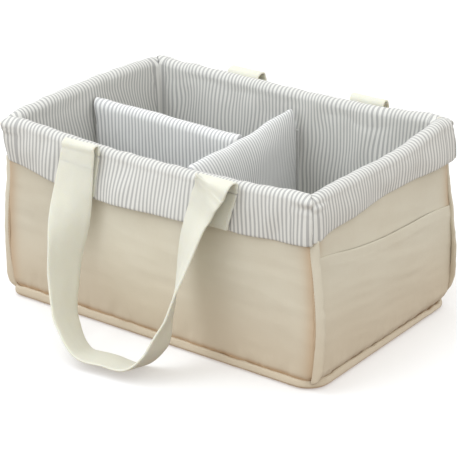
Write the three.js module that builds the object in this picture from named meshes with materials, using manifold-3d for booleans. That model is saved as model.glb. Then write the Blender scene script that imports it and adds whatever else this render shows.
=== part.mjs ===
import * as THREE from 'three'
import { mergeVertices } from 'three/addons/utils/BufferGeometryUtils.js'
import Module from 'manifold-3d'

// Open-topped padded fabric caddy with three compartments, two carrying straps,
// an end pocket on each short side and two lift-out dividers.
// Millimetres, +Z up, origin at the bottom centre, X along the length, front at -Y.

const wasm = await Module()
wasm.setup()

// Overall sizes
const footprintLength = 378
const footprintWidth = 243
const footprintCorner = 24
const rimHeight = 190
const innerLength = 337
const innerWidth = 208
const innerCorner = 5

// Layers of a wall, from the inside out, and the clearance between sewn layers
const fitGap = 0.3
const liningThickness = 1.5
const padThickness = 9
const panelThickness = 3

// Layers of the bottom, from the floor up
const basePanelThickness = 3
const baseBoardThickness = 3
const basePadThickness = 3
const baseBoardInset = 2.2
const basePadInset = 6

// Flange sewn round the foot
const flangeHeight = 10
const flangeThickness = 4.5
const flangeRound = 2
const flangeEdgeStep = 0.6

// Swell of the stuffed walls: out at mid height, and out again at the middle of each side
const endSwell = 5
const longSwell = 2
const endBow = 3.5
const longBow = 2.5
const shellMidCorner = 7
const shellFootCorner = 20

// Lining turned over the rim as a cuff
const cuffDrop = 46
const cuffFlare = 4
const cuffBow = 3
const frontRimSag = 6
const backRimSag = 1.5
const endRimSag = 1.5

// Corner welts, flat fins that stand out past the ends of the long sides
const weltReach = 7
const weltThickness = 3
const weltRound = 0.8

// End pockets: a flat fabric panel whose mouth slopes down towards the back
const pocketThickness = 1.5
const pocketStand = 0.7
const pocketSlack = 1.2
const pocketFrontHeight = 128
const pocketBackHeight = 108
const pocketHemHeight = 12
const pocketHemStep = 0.7

// Carrying straps of cotton webbing
const webbingWidth = 40
const webbingThickness = 2.2
const strapSpacing = 158
const frontStrapOffset = -4
const backStrapOffset = 9
const strapFoldRise = 0.5
const strapHingeGap = 0.3
const strapEndClearance = 0.5
const handleReach = 51
const handleFloorGap = 0.6

// Dividers: a foam board in a sewn cover, held by hook-and-loop tape
const dividerThickness = 16
const dividerHeight = 165
const dividerCorner = 3
const dividerEdgeRound = 0.6
const dividerCrown = 6
const dividerCover = 2
const crossDividerFrontX = 36
const crossDividerSeatX = 23.5
const crossDividerBackX = 9
const longDividerY = 4
const tapeThickness = 1
const tapeWidth = 12
const tapeLength = 120
const cutOverrun = 5

// Step counts
const straightSteps = 6
const arcSteps = 3
const crestSteps = 7
const padCrownPoints = 4
const ringArcSteps = 6
const dividerPathSteps = 12
const crownSteps = 4
const ribbonSteps = 64

// Colours and finishes
const canvas = new THREE.MeshStandardMaterial({ color: 0xc8bca6, roughness: 0.95, metalness: 0 })
const stripe = new THREE.MeshStandardMaterial({ color: 0xc9cccd, roughness: 0.95, metalness: 0 })
const webbing = new THREE.MeshStandardMaterial({ color: 0xe3e1d3, roughness: 0.9, metalness: 0 })
const foam = new THREE.MeshStandardMaterial({ color: 0xf1efe6, roughness: 1, metalness: 0 })
const board = new THREE.MeshStandardMaterial({ color: 0xa99b84, roughness: 0.85, metalness: 0 })
const tape = new THREE.MeshStandardMaterial({ color: 0xdedfdc, roughness: 1, metalness: 0 })

// Depths through the wall, measured outwards from the face of the lining
const padInnerDepth = liningThickness + fitGap
const panelOuterDepth = padInnerDepth + padThickness + fitGap + panelThickness
const wallDepth = panelOuterDepth + fitGap + liningThickness
const crestRadius = wallDepth / 2
const crestLevel = rimHeight - crestRadius
const shellTop = crestLevel - fitGap

// Levels of the bottom layers
const boardLevel = basePanelThickness + fitGap
const basePadLevel = boardLevel + baseBoardThickness + fitGap
const liningLevel = basePadLevel + basePadThickness + fitGap
const floorTop = liningLevel + liningThickness
const shellLevel = flangeHeight + fitGap
const hemLevel = rimHeight - cuffDrop

const strapFoldHeight = rimHeight + strapFoldRise

// Height shares of the wall against shares of its swell
const swellShares = [
  [0.05, 0.7], [0.14, 0.93], [0.26, 1], [0.4, 0.85], [0.55, 0.5], [0.7, 0.12], [0.78, 0],
]
// Height shares against shares of the way from the tight corner to the wide one
const footCornerShares = [[0.05, 1], [0.11, 0.55], [0.2, 0.12], [0.3, 0]]
const rimCornerShares = [[0.5, 0], [0.62, 0.3], [0.7, 0.85], [0.745, 1]]
// Height shares against shares of the welt's reach
const weltShares = [
  [0.05, 0.2], [0.13, 0.6], [0.24, 0.92], [0.32, 1], [0.45, 0.9], [0.58, 0.75], [0.67, 0.7],
  [0.75, 0.95],
]
const sagStartShare = 0.5
const sagFullShare = 0.75

// Rings of the shell, shared by panels, pads and welts: shares of the way up to the cuff,
// where the welts end, and then of the way under the cuff
const openRingShares = [0, 0.07, 0.2, 0.36, 0.52, 0.68, 0.82, 0.92, 1]
const coveredRingShares = [0.3, 1]

function mix(a, b, share) {
  return a + (b - a) * share
}

function sample(table, share) {
  if (share <= table[0][0]) return table[0][1]
  for (let i = 1; i < table.length; i += 1) {
    const [low, high] = [table[i - 1], table[i]]
    if (share <= high[0]) return mix(low[1], high[1], (share - low[0]) / (high[0] - low[0]))
  }
  return table[table.length - 1][1]
}

function ease(share) {
  const held = Math.min(Math.max(share, 0), 1)
  return held * held * (3 - 2 * held)
}

// Closed solid through sections, run round in a ring or capped at both ends. A section goes
// up one edge and back down the other with as many points, so a strip of quads caps it.
function skin(sections, ring = false) {
  const count = sections[0].length
  const positions = sections.flat().flatMap(point => [point.x, point.y, point.z])
  const faces = []
  const spans = ring ? sections.length : sections.length - 1
  for (let i = 0; i < spans; i += 1) {
    const here = i * count
    const next = ((i + 1) % sections.length) * count
    for (let j = 0; j < count; j += 1) {
      const k = (j + 1) % count
      faces.push([here + j, here + k, next + k], [here + j, next + k, next + j])
    }
  }
  const last = (sections.length - 1) * count
  for (let j = 0; !ring && j < count / 2 - 1; j += 1) {
    const [near, nearNext, farNext, far] = [j, j + 1, count - 2 - j, count - 1 - j]
    faces.push([nearNext, near, far], [nearNext, far, farNext])
    faces.push([last + near, last + nearNext, last + far])
    faces.push([last + nearNext, last + farNext, last + far])
  }
  return facing(positions, faces)
}

// Turns the faces of a closed mesh outwards and gives it flat shading
function facing(positions, faces) {
  const corner = index => new THREE.Vector3().fromArray(positions, index * 3)
  let volume = 0
  for (const [a, b, c] of faces) {
    volume += corner(a).dot(corner(b).cross(corner(c)))
  }
  const turned = volume < 0 ? faces.map(([a, b, c]) => [a, c, b]) : faces
  const geometry = new THREE.BufferGeometry()
  geometry.setAttribute('position', new THREE.Float32BufferAttribute(positions, 3))
  geometry.setIndex(turned.flat())
  geometry.computeVertexNormals()
  return geometry
}

// Solid of a geometry for cutting, and the geometry of a solid
function toSolid(geometry) {
  const bare = geometry.clone()
  bare.deleteAttribute('normal')
  bare.deleteAttribute('uv')
  const merged = mergeVertices(bare)
  return new wasm.Manifold(new wasm.Mesh({
    numProp: 3,
    vertProperties: Float32Array.from(merged.attributes.position.array),
    triVerts: Uint32Array.from(merged.index.array),
  }))
}

function toGeometry(solid) {
  const mesh = solid.getMesh()
  const geometry = new THREE.BufferGeometry()
  geometry.setAttribute('position', new THREE.Float32BufferAttribute(mesh.vertProperties, 3))
  geometry.setIndex(Array.from(mesh.triVerts))
  geometry.computeVertexNormals()
  return geometry
}

const caddy = new THREE.Group()

function addPiece(name, geometry, material) {
  const mesh = new THREE.Mesh(geometry, material)
  mesh.name = name
  caddy.add(mesh)
  return mesh
}

// The four sides, each a quarter turn on from the one before
const sides = {
  front: { turns: 0, bow: longBow, sag: frontRimSag },
  right: { turns: 1, bow: endBow, sag: endRimSag },
  back: { turns: 2, bow: longBow, sag: backRimSag },
  left: { turns: 3, bow: endBow, sag: endRimSag },
}

// Places on a side: shares of its straight run, and turns round half of each corner
function placesAlong() {
  const places = []
  for (let i = arcSteps; i > 0; i -= 1) places.push({ run: -1, turn: -i / arcSteps })
  for (let i = 0; i <= straightSteps; i += 1) {
    places.push({ run: mix(-1, 1, i / straightSteps), turn: 0 })
  }
  for (let i = 1; i <= arcSteps; i += 1) places.push({ run: 1, turn: i / arcSteps })
  return places
}

function middleShare(run) {
  return (1 - run * run) ** 2
}

// A layer at one level: half its length and width, its corner radius and how much it bows
function liningLayer(depth, level, bow = 0) {
  return {
    halfX: innerLength / 2 + depth,
    halfY: innerWidth / 2 + depth,
    corner: innerCorner + depth,
    bow,
    level,
  }
}

function shellLayer(inset, level) {
  const height = level / rimHeight
  const swell = sample(swellShares, height)
  const rimCorner = innerCorner + panelOuterDepth
  const foot = sample(footCornerShares, height) * (shellFootCorner - shellMidCorner)
  const rim = sample(rimCornerShares, height) * (rimCorner - shellMidCorner)
  const rise = (level - shellLevel) / (crestLevel - shellLevel)
  return {
    halfX: innerLength / 2 + panelOuterDepth + endSwell * swell - inset,
    halfY: innerWidth / 2 + panelOuterDepth + longSwell * swell - inset,
    corner: shellMidCorner + foot + rim - inset,
    bow: Math.sin(Math.PI * Math.min(Math.max(rise, 0), 1)),
    level,
  }
}

// Point of a layer on a side
function wallPoint(side, layer, place, bowSize = side.bow) {
  const lengthwise = side.turns % 2 === 0
  const halfRun = (lengthwise ? layer.halfX : layer.halfY) - layer.corner
  const halfOut = (lengthwise ? layer.halfY : layer.halfX) - layer.corner
  const cornerTurn = Math.PI / 4 - fitGap / 2 / layer.corner
  const angle = place.turn * cornerTurn
  const along = place.run * halfRun + layer.corner * Math.sin(angle)
  const swelling = place.turn === 0 ? middleShare(place.run) * bowSize * layer.bow : 0
  const out = halfOut + layer.corner * Math.cos(angle) + swelling
  const sagRun = sagFullShare - sagStartShare
  const sagging = ease((layer.level / rimHeight - sagStartShare) / sagRun)
  const sag = place.turn === 0 ? middleShare(place.run) * side.sag * sagging : 0
  const point = new THREE.Vector3(along, -out, layer.level - sag)
  return point.applyAxisAngle(new THREE.Vector3(0, 0, 1), side.turns * Math.PI / 2)
}

function wallSolid(side, layers, bowSize = side.bow) {
  return skin(placesAlong().map(place => {
    return layers.map(layer => wallPoint(side, layer, place, bowSize))
  }))
}

// Shell panel: canvas with a swelling outer face, standing on the flange
const weltTop = hemLevel - 2 * fitGap
const openRings = openRingShares.map(share => mix(shellLevel, weltTop, share))
const coveredRings = coveredRingShares.map(share => mix(weltTop, shellTop, share))
const shellRings = [...openRings, ...coveredRings]

function shellPanel(side) {
  const outer = []
  const inner = []
  for (const level of shellRings) {
    outer.push(shellLayer(0, level))
    inner.unshift(shellLayer(panelThickness, level))
  }
  return wallSolid(side, [...outer, ...inner])
}

// Foam pad between shell and lining, its top rounded to sit under the turned lining
function wallPad(side) {
  const padOuterInset = panelThickness + fitGap
  const crownRadius = crestRadius - liningThickness - fitGap
  const crownTurn = Math.acos(1 - padThickness / crownRadius)
  const levels = [liningLevel, ...shellRings.slice(1)]
  const layers = levels.map(level => liningLayer(padInnerDepth, level))
  for (let i = 1; i <= padCrownPoints; i += 1) {
    const angle = crownTurn * i / (padCrownPoints + 1)
    const depth = padInnerDepth + crownRadius * (1 - Math.cos(angle))
    layers.push(liningLayer(depth, shellTop + crownRadius * Math.sin(angle)))
  }
  layers.push(...levels.reverse().map(level => shellLayer(padOuterInset, level)))
  return wallSolid(side, layers)
}

// Lining panel: up the inside, over the rim and down the outside as a flared cuff
const cuffShares = [0, 0.35, 0.7, 1]

function cuffDepth(share) {
  return wallDepth + cuffFlare * share
}

function cuffLevel(share) {
  return mix(crestLevel, hemLevel, share)
}

function liningPanel(side) {
  const layers = [liningLayer(0, liningLevel)]
  const crest = (radius, backwards) => {
    for (let i = 0; i <= crestSteps; i += 1) {
      const share = backwards ? 1 - i / crestSteps : i / crestSteps
      const angle = Math.PI * (1 - share)
      const depth = crestRadius + radius * Math.cos(angle)
      layers.push(liningLayer(depth, crestLevel + radius * Math.sin(angle)))
    }
  }
  crest(crestRadius, false)
  for (const share of cuffShares.slice(1)) {
    layers.push(liningLayer(cuffDepth(share), cuffLevel(share), share))
  }
  for (const share of [...cuffShares.slice(1)].reverse()) {
    layers.push(liningLayer(cuffDepth(share) - liningThickness, cuffLevel(share), share))
  }
  crest(crestRadius - liningThickness, true)
  layers.push(liningLayer(liningThickness, liningLevel))
  return wallSolid(side, layers, cuffBow)
}

for (const [name, side] of Object.entries(sides)) {
  addPiece(`${name}_panel`, shellPanel(side), canvas)
  addPiece(`${name}_pad`, wallPad(side), foam)
  addPiece(`${name}_lining`, liningPanel(side), stripe)
}

// Rounded rectangle in plan, for the flat layers of the bottom
function roundedPlan(halfX, halfY, corner) {
  const shape = new THREE.Shape()
  shape.moveTo(-halfX + corner, -halfY)
  shape.lineTo(halfX - corner, -halfY)
  shape.absarc(halfX - corner, -halfY + corner, corner, -Math.PI / 2, 0)
  shape.lineTo(halfX, halfY - corner)
  shape.absarc(halfX - corner, halfY - corner, corner, 0, Math.PI / 2)
  shape.lineTo(-halfX + corner, halfY)
  shape.absarc(-halfX + corner, halfY - corner, corner, Math.PI / 2, Math.PI)
  shape.lineTo(-halfX, -halfY + corner)
  shape.absarc(-halfX + corner, -halfY + corner, corner, Math.PI, Math.PI * 3 / 2)
  return shape
}

function flatLayer(halfX, halfY, corner, thickness, level) {
  const plan = roundedPlan(halfX, halfY, corner)
  const options = { depth: thickness, bevelEnabled: false, curveSegments: ringArcSteps }
  return new THREE.ExtrudeGeometry(plan, options).translate(0, 0, level)
}

const basePanelInset = flangeThickness + fitGap
const basePanelHalfX = footprintLength / 2 - basePanelInset
const basePanelHalfY = footprintWidth / 2 - basePanelInset
const basePanelCorner = footprintCorner - basePanelInset

addPiece('base_panel', flatLayer(
  basePanelHalfX,
  basePanelHalfY,
  basePanelCorner,
  basePanelThickness,
  0,
), canvas)

addPiece('base_board', flatLayer(
  basePanelHalfX - baseBoardInset,
  basePanelHalfY - baseBoardInset,
  basePanelCorner - baseBoardInset,
  baseBoardThickness,
  boardLevel,
), board)

addPiece('base_pad', flatLayer(
  basePanelHalfX - basePadInset,
  basePanelHalfY - basePadInset,
  basePanelCorner - basePadInset,
  basePadThickness,
  basePadLevel,
), foam)

addPiece('floor_lining', flatLayer(
  innerLength / 2 - fitGap,
  innerWidth / 2 - fitGap,
  innerCorner - fitGap,
  liningThickness,
  liningLevel,
), stripe)

// Flange round the foot: the seam allowance of the bottom, turned down and stitched
function baseFlange() {
  const profile = [
    [flangeThickness, 0],
    [flangeRound / 2, 0],
    [0, flangeRound / 2],
    [0, flangeHeight - flangeRound],
    [flangeEdgeStep, flangeHeight - flangeEdgeStep],
    [flangeRound, flangeHeight],
    [flangeThickness, flangeHeight],
  ]
  const sections = []
  for (let quarter = 0; quarter < 4; quarter += 1) {
    for (let i = 0; i <= ringArcSteps; i += 1) {
      const angle = (quarter + i / ringArcSteps) * Math.PI / 2
      const signX = quarter === 0 || quarter === 3 ? 1 : -1
      const signY = quarter < 2 ? 1 : -1
      sections.push(profile.map(([inset, level]) => {
        const radius = footprintCorner - inset
        const centreX = signX * (footprintLength / 2 - footprintCorner)
        const centreY = signY * (footprintWidth / 2 - footprintCorner)
        return new THREE.Vector3(
          centreX + radius * Math.cos(angle),
          centreY + radius * Math.sin(angle),
          level,
        )
      }))
    }
  }
  return skin(sections, true)
}

addPiece('base_flange', baseFlange(), canvas)

// Corner welt: a fin in the plane of the long side, seated on the rounded corner of the shell
function cornerWelt(signX, signY) {
  return skin(openRings.map(level => {
    const layer = shellLayer(0, level)
    const reach = weltReach * sample(weltShares, level / rimHeight)
    const seat = layer.corner + fitGap
    const nearTurn = Math.acos(layer.corner / seat)
    const farTurn = Math.acos((layer.corner - weltThickness) / seat)
    const points = []
    for (let i = 0; i <= arcSteps; i += 1) {
      const angle = mix(nearTurn, farTurn, i / arcSteps)
      points.push([seat * Math.sin(angle) - layer.corner, seat * Math.cos(angle) - layer.corner])
    }
    points.push([reach - weltRound, -weltThickness])
    points.push([reach, weltRound - weltThickness])
    points.push([reach, -weltRound])
    points.push([reach - weltRound, 0])
    return points.map(([past, deep]) => {
      return new THREE.Vector3(signX * (layer.halfX + past), signY * (layer.halfY + deep), level)
    })
  }))
}

for (const [name, signX, signY] of [
  ['front_left_welt', -1, -1],
  ['front_right_welt', 1, -1],
  ['back_left_welt', -1, 1],
  ['back_right_welt', 1, 1],
]) {
  addPiece(name, cornerWelt(signX, signY), canvas)
}

// Point of a pocket: on the end panel, as far round its corners as the welt leaves free
function pocketPoint(side, place, level, stand) {
  const layer = shellLayer(0, level)
  const clear = weltThickness + pocketStand + pocketThickness + pocketHemStep + fitGap
  const turn = Math.PI / 2 - Math.acos(Math.max(1 - clear / layer.corner, 0))
  const angle = place.turn * Math.min(turn, Math.PI / 4)
  const radius = layer.corner + stand
  const bulge = place.turn === 0 ? middleShare(place.run) * layer.bow : 0
  const out = layer.halfX - layer.corner + radius * Math.cos(angle)
  const along = place.run * (layer.halfY - layer.corner) + radius * Math.sin(angle)
  const point = new THREE.Vector3(along, -out - bulge * (side.bow + pocketSlack), level)
  return point.applyAxisAngle(new THREE.Vector3(0, 0, 1), side.turns * Math.PI / 2)
}

// End pocket over the lower part of an end panel, with a turned hem along its sloping mouth
const pocketRingShares = [0, 0.1, 0.22, 0.4, 0.6, 0.8]

function endPocket(side) {
  return skin(placesAlong().map(place => {
    const along = pocketPoint(side, place, shellLevel, 0).y / (footprintWidth / 2)
    const mouth = mix(pocketFrontHeight, pocketBackHeight, (along + 1) / 2)
    const hemFoot = mouth - pocketHemHeight
    const rows = pocketRingShares.map(ringShare => [mix(shellLevel, hemFoot, ringShare), 0])
    rows.push([hemFoot, 0], [hemFoot + pocketHemStep, pocketHemStep], [mouth, pocketHemStep])
    const outer = rows.map(([level, step]) => {
      return pocketPoint(side, place, level, pocketStand + pocketThickness + step)
    })
    const inner = rows.map(([level]) => pocketPoint(side, place, level, pocketStand))
    return [...outer, ...inner.reverse()]
  }))
}

addPiece('right_pocket', endPocket(sides.right), canvas)
addPiece('left_pocket', endPocket(sides.left), canvas)

// Straps: each end is sewn flat on the cuff, folds over at the top and hangs outside
const strapInnerDepth = wallDepth + fitGap
const strapHingeDepth = strapInnerDepth + webbingThickness + strapHingeGap
const strapEndTop = strapFoldHeight - strapEndClearance
const strapEndShares = [0.97, 0.66, 0.33, 0]
const strapAcrossSteps = 4

function strapEnd(side, centre) {
  const halfRun = innerLength / 2 - innerCorner
  const rows = strapEndShares.map(share => ({ share, top: false }))
  rows.push({ share: 0, top: true })
  const sections = rows.map(({ share, top }) => {
    const inner = []
    const outer = []
    for (let i = 0; i <= strapAcrossSteps; i += 1) {
      const along = centre + mix(-webbingWidth / 2, webbingWidth / 2, i / strapAcrossSteps)
      const middle = middleShare(along / halfRun)
      const level = top ? strapEndTop : cuffLevel(share) - side.sag * middle
      const out = innerWidth / 2 + cuffDepth(share) + cuffBow * share * middle + fitGap
      inner.push(new THREE.Vector3(along, -out, level))
      outer.unshift(new THREE.Vector3(along, -out - webbingThickness, level))
    }
    return [...inner, ...outer]
  })
  return skin(sections).rotateZ(side.turns * Math.PI / 2)
}

// Rows from one leg's top round to the other's: shares of half the spacing between the legs,
// of the reach away from the wall and of the height of the fold, and the turn of the webbing
const handleRowShares = [
  [-1, 0, 1, 0],
  [-1, 0, 0.97, 0],
  [-1, 0.05, 0.9, 0],
  [-1.01, 0.14, 0.79, 0],
  [-1.04, 0.28, 0.56, 3],
  [-1.05, 0.45, 0.36, 8],
  [-1.01, 0.64, 0.2, 20],
  [-0.87, 0.82, 0.085, 42],
  [-0.61, 0.94, 0.02, 66],
  [-0.23, 1, 0, 84],
  [0.15, 0.98, 0.01, 98],
  [0.4, 0.9, 0.055, 108],
  [0.61, 0.74, 0.17, 116],
  [0.71, 0.6, 0.29, 122],
  [0.76, 0.46, 0.44, 130],
  [0.8, 0.33, 0.6, 146],
  [0.89, 0.18, 0.79, 168],
  [0.97, 0.07, 0.9, 178],
  [1, 0, 0.97, 180],
  [1, 0, 1, 180],
]

function handleLoop(side, offset) {
  const startOut = innerWidth / 2 + strapHingeDepth + strapHingeGap + webbingThickness / 2
  const lowest = handleFloorGap + webbingThickness / 2
  const centres = handleRowShares.map(([across, reach, height]) => new THREE.Vector3(
    offset + across * strapSpacing / 2,
    -startOut - reach * handleReach,
    mix(lowest, strapEndTop, height),
  ))
  const curve = new THREE.CatmullRomCurve3(centres, false, 'centripetal')
  const rowSpan = handleRowShares.length - 1
  const sections = []
  for (let i = 0; i <= ribbonSteps; i += 1) {
    const share = i / ribbonSteps
    const row = Math.min(Math.floor(share * rowSpan), rowSpan - 1)
    const within = share * rowSpan - row
    const turns = [handleRowShares[row][3], handleRowShares[row + 1][3]]
    const turn = THREE.MathUtils.degToRad(mix(turns[0], turns[1], within))
    const centre = curve.getPoint(share)
    const tangent = curve.getTangent(share)
    if (row < 1 || row >= rowSpan - 1) tangent.set(0, 0, Math.sign(share - 0.5))
    const across = new THREE.Vector3(Math.cos(turn), Math.sin(turn), 0)
    across.addScaledVector(tangent, -across.dot(tangent)).normalize()
    const normal = new THREE.Vector3().crossVectors(tangent, across)
    const corners = [[-1, -1], [1, -1], [1, 1], [-1, 1]]
    sections.push(corners.map(([wide, thick]) => centre.clone()
      .addScaledVector(across, wide * webbingWidth / 2)
      .addScaledVector(normal, thick * webbingThickness / 2)))
  }
  return skin(sections).rotateZ(side.turns * Math.PI / 2)
}

addPiece('front_left_strap_end', strapEnd(sides.front, frontStrapOffset - strapSpacing / 2), webbing)
addPiece('front_right_strap_end', strapEnd(sides.front, frontStrapOffset + strapSpacing / 2), webbing)
addPiece('back_left_strap_end', strapEnd(sides.back, strapSpacing / 2 - backStrapOffset), webbing)
addPiece('back_right_strap_end', strapEnd(sides.back, -strapSpacing / 2 - backStrapOffset), webbing)
addPiece('front_handle', handleLoop(sides.front, frontStrapOffset), webbing)
addPiece('back_handle', handleLoop(sides.back, -backStrapOffset), webbing)

// Divider: a slab that follows a line in plan, with rounded ends and a crowned top
function dividerSlab(line, halfThickness, trim, corner, bottom, top, crown) {
  const levels = [[bottom, 0]]
  for (let i = 0; i <= crownSteps; i += 1) {
    const angle = Math.PI / 2 * i / crownSteps
    levels.push([top - crown + crown * Math.sin(angle), crown * (1 - Math.cos(angle))])
  }
  const outline = (inset) => {
    const half = halfThickness - inset
    const round = Math.max(corner - inset, dividerEdgeRound)
    const rows = []
    const left = []
    for (let i = 0; i <= dividerPathSteps; i += 1) {
      const share = i / dividerPathSteps
      const { point, tangent } = line(share, trim + inset)
      const normal = new THREE.Vector2(-tangent.y, tangent.x)
      const ends = i === 0 || i === dividerPathSteps
      const reach = ends ? half - round : half
      rows.push(point.clone().addScaledVector(normal, reach))
      left.unshift(point.clone().addScaledVector(normal, -reach))
      if (ends) {
        const inward = i === 0 ? round : -round
        const shoulder = point.clone().addScaledVector(tangent, inward)
        const near = shoulder.clone().addScaledVector(normal, half)
        const far = shoulder.clone().addScaledVector(normal, -half)
        if (i === 0) {
          rows.push(near)
          left.splice(left.length - 1, 0, far)
        } else {
          rows.splice(rows.length - 1, 0, near)
          left.splice(1, 0, far)
        }
      }
    }
    return [...rows, ...left]
  }
  return skin(levels.map(([level, inset]) => {
    return outline(inset).map(point => new THREE.Vector3(point.x, point.y, level))
  }))
}

// Lines in plan that the dividers follow, from one end to the other, each end trimmed alike
const tapeStack = 2 * tapeThickness + 3 * fitGap
const crossSeatHalf = tapeWidth / 2 + fitGap

// Place of the cross divider: straight past the end of the long one, then off to both walls
function crossX(y) {
  const past = y - longDividerY
  const side = Math.sign(past)
  const run = innerWidth / 2 - tapeStack - side * longDividerY - crossSeatHalf
  const wallX = side < 0 ? crossDividerFrontX : crossDividerBackX
  return mix(crossDividerSeatX, wallX, ease((Math.abs(past) - crossSeatHalf) / run))
}

function crossLine(share, trim) {
  const half = innerWidth / 2 - tapeStack - trim
  const y = mix(-half, half, share)
  const step = half / dividerPathSteps / 2
  const tangent = new THREE.Vector2(crossX(y + step) - crossX(y - step), 2 * step).normalize()
  return { point: new THREE.Vector2(crossX(y), y), tangent }
}

const longDividerStart = -innerLength / 2 + tapeStack
const crossFaceX = crossDividerSeatX - dividerThickness / 2
const longDividerEnd = crossFaceX - tapeStack

function longLine(share, trim) {
  const x = mix(longDividerStart + trim, longDividerEnd - trim, share)
  return { point: new THREE.Vector2(x, longDividerY), tangent: new THREE.Vector2(1, 0) }
}

const dividerBottom = floorTop + fitGap
const dividerTop = dividerBottom + dividerHeight
const boardClearance = dividerCover + fitGap

function dividerCoverPiece(line) {
  const half = dividerThickness / 2
  const outside = dividerSlab(line, half, 0, dividerCorner, dividerBottom, dividerTop, dividerCrown)
  const hollow = dividerSlab(
    line,
    half - dividerCover,
    dividerCover,
    dividerCorner - dividerCover,
    dividerBottom - cutOverrun,
    dividerTop - dividerCover,
    dividerCrown - dividerCover,
  )
  return toGeometry(toSolid(outside).subtract(toSolid(hollow)))
}

function dividerBoardPiece(line) {
  return dividerSlab(
    line,
    dividerThickness / 2 - boardClearance,
    boardClearance,
    dividerCorner - dividerCover,
    dividerBottom,
    dividerTop - boardClearance,
    dividerCrown - boardClearance,
  )
}

addPiece('cross_divider_cover', dividerCoverPiece(crossLine), stripe)
addPiece('cross_divider_board', dividerBoardPiece(crossLine), foam)
addPiece('long_divider_cover', dividerCoverPiece(longLine), stripe)
addPiece('long_divider_board', dividerBoardPiece(longLine), foam)

// Hook-and-loop tape: a hook strip on each divider end, a loop strip on what it holds to
const tapeMiddle = dividerBottom + dividerHeight / 2
const tapeSolid = alongX => new THREE.BoxGeometry(
  alongX ? tapeThickness : tapeWidth,
  alongX ? tapeWidth : tapeThickness,
  tapeLength,
)

const loopDepth = fitGap + tapeThickness / 2
const hookDepth = loopDepth + tapeThickness + fitGap

function addTape(name, alongX, x, y) {
  addPiece(name, tapeSolid(alongX).translate(x, y, tapeMiddle), tape)
}

addTape('front_loop_tape', false, crossDividerFrontX, -innerWidth / 2 + loopDepth)
addTape('cross_divider_front_hook', false, crossDividerFrontX, -innerWidth / 2 + hookDepth)
addTape('back_loop_tape', false, crossDividerBackX, innerWidth / 2 - loopDepth)
addTape('cross_divider_back_hook', false, crossDividerBackX, innerWidth / 2 - hookDepth)
addTape('left_loop_tape', true, -innerLength / 2 + loopDepth, longDividerY)
addTape('long_divider_left_hook', true, -innerLength / 2 + hookDepth, longDividerY)

addTape('cross_divider_loop_tape', true, crossFaceX - loopDepth, longDividerY)
addTape('long_divider_right_hook', true, crossFaceX - hookDepth, longDividerY)

export default caddy
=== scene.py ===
"""Padded fabric caddy with a turned striped lining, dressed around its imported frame.

Metres, +Z up, front at -Y. Lengths are in millimetres where a line multiplies them by MM.
"""

import math

import bpy
import numpy as np
from mathutils import Matrix, Vector


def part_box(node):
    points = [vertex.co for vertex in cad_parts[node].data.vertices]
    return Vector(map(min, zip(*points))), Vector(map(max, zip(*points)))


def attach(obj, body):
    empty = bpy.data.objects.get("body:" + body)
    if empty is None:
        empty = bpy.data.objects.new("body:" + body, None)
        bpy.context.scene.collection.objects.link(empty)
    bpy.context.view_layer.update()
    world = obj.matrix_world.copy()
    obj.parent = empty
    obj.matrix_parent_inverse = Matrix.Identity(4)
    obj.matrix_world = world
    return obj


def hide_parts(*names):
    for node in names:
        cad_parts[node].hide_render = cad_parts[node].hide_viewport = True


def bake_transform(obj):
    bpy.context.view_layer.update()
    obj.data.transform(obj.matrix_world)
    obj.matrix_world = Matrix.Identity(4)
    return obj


MM = 0.001

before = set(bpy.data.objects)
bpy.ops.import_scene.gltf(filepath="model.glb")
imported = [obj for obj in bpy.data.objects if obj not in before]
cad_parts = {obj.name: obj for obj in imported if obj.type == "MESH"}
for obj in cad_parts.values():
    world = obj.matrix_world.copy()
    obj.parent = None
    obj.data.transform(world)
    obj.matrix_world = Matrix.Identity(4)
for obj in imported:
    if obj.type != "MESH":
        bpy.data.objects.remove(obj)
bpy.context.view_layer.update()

# Sizes read from the frame
FIT_GAP = 0.3 * MM
floor_low, floor_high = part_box("floor_lining")
inner_half_x = floor_high.x + FIT_GAP
inner_half_y = floor_high.y + FIT_GAP
floor_top = floor_high.z
flange_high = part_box("base_flange")[1]
cross_low, cross_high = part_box("cross_divider_cover")
long_low, long_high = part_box("long_divider_cover")

# Layers of a wall, from the inside out
INNER_CORNER = 5 * MM
LINING = 1.5 * MM
PAD = 9 * MM
PANEL = 3 * MM
CLOTH = 1.1 * MM
pad_depth = LINING + FIT_GAP
panel_depth = pad_depth + PAD + FIT_GAP + PANEL
wall_depth = panel_depth + FIT_GAP + LINING
crest_radius = wall_depth / 2
RIM_TOP = 190 * MM
crest_level = RIM_TOP - crest_radius

# Swell of the shell: height shares against shares of the swell and of the wide corners
END_SWELL = 5 * MM
LONG_SWELL = 2 * MM
SHELL_CORNER = 7 * MM
FOOT_CORNER = 20 * MM
SWELL_SHARES = [
    (0.03, 0.35), (0.05, 0.75), (0.09, 0.94), (0.16, 1), (0.26, 1), (0.4, 0.85),
    (0.55, 0.5), (0.7, 0.12), (0.78, 0), (1, 0),
]
FOOT_CORNER_SHARES = [(0.03, 1), (0.05, 0.65), (0.08, 0.22), (0.13, 0), (1, 0)]
RIM_CORNER_SHARES = [(0, 0), (0.5, 0), (0.62, 0.3), (0.7, 0.85), (0.745, 1), (1, 1)]

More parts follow.
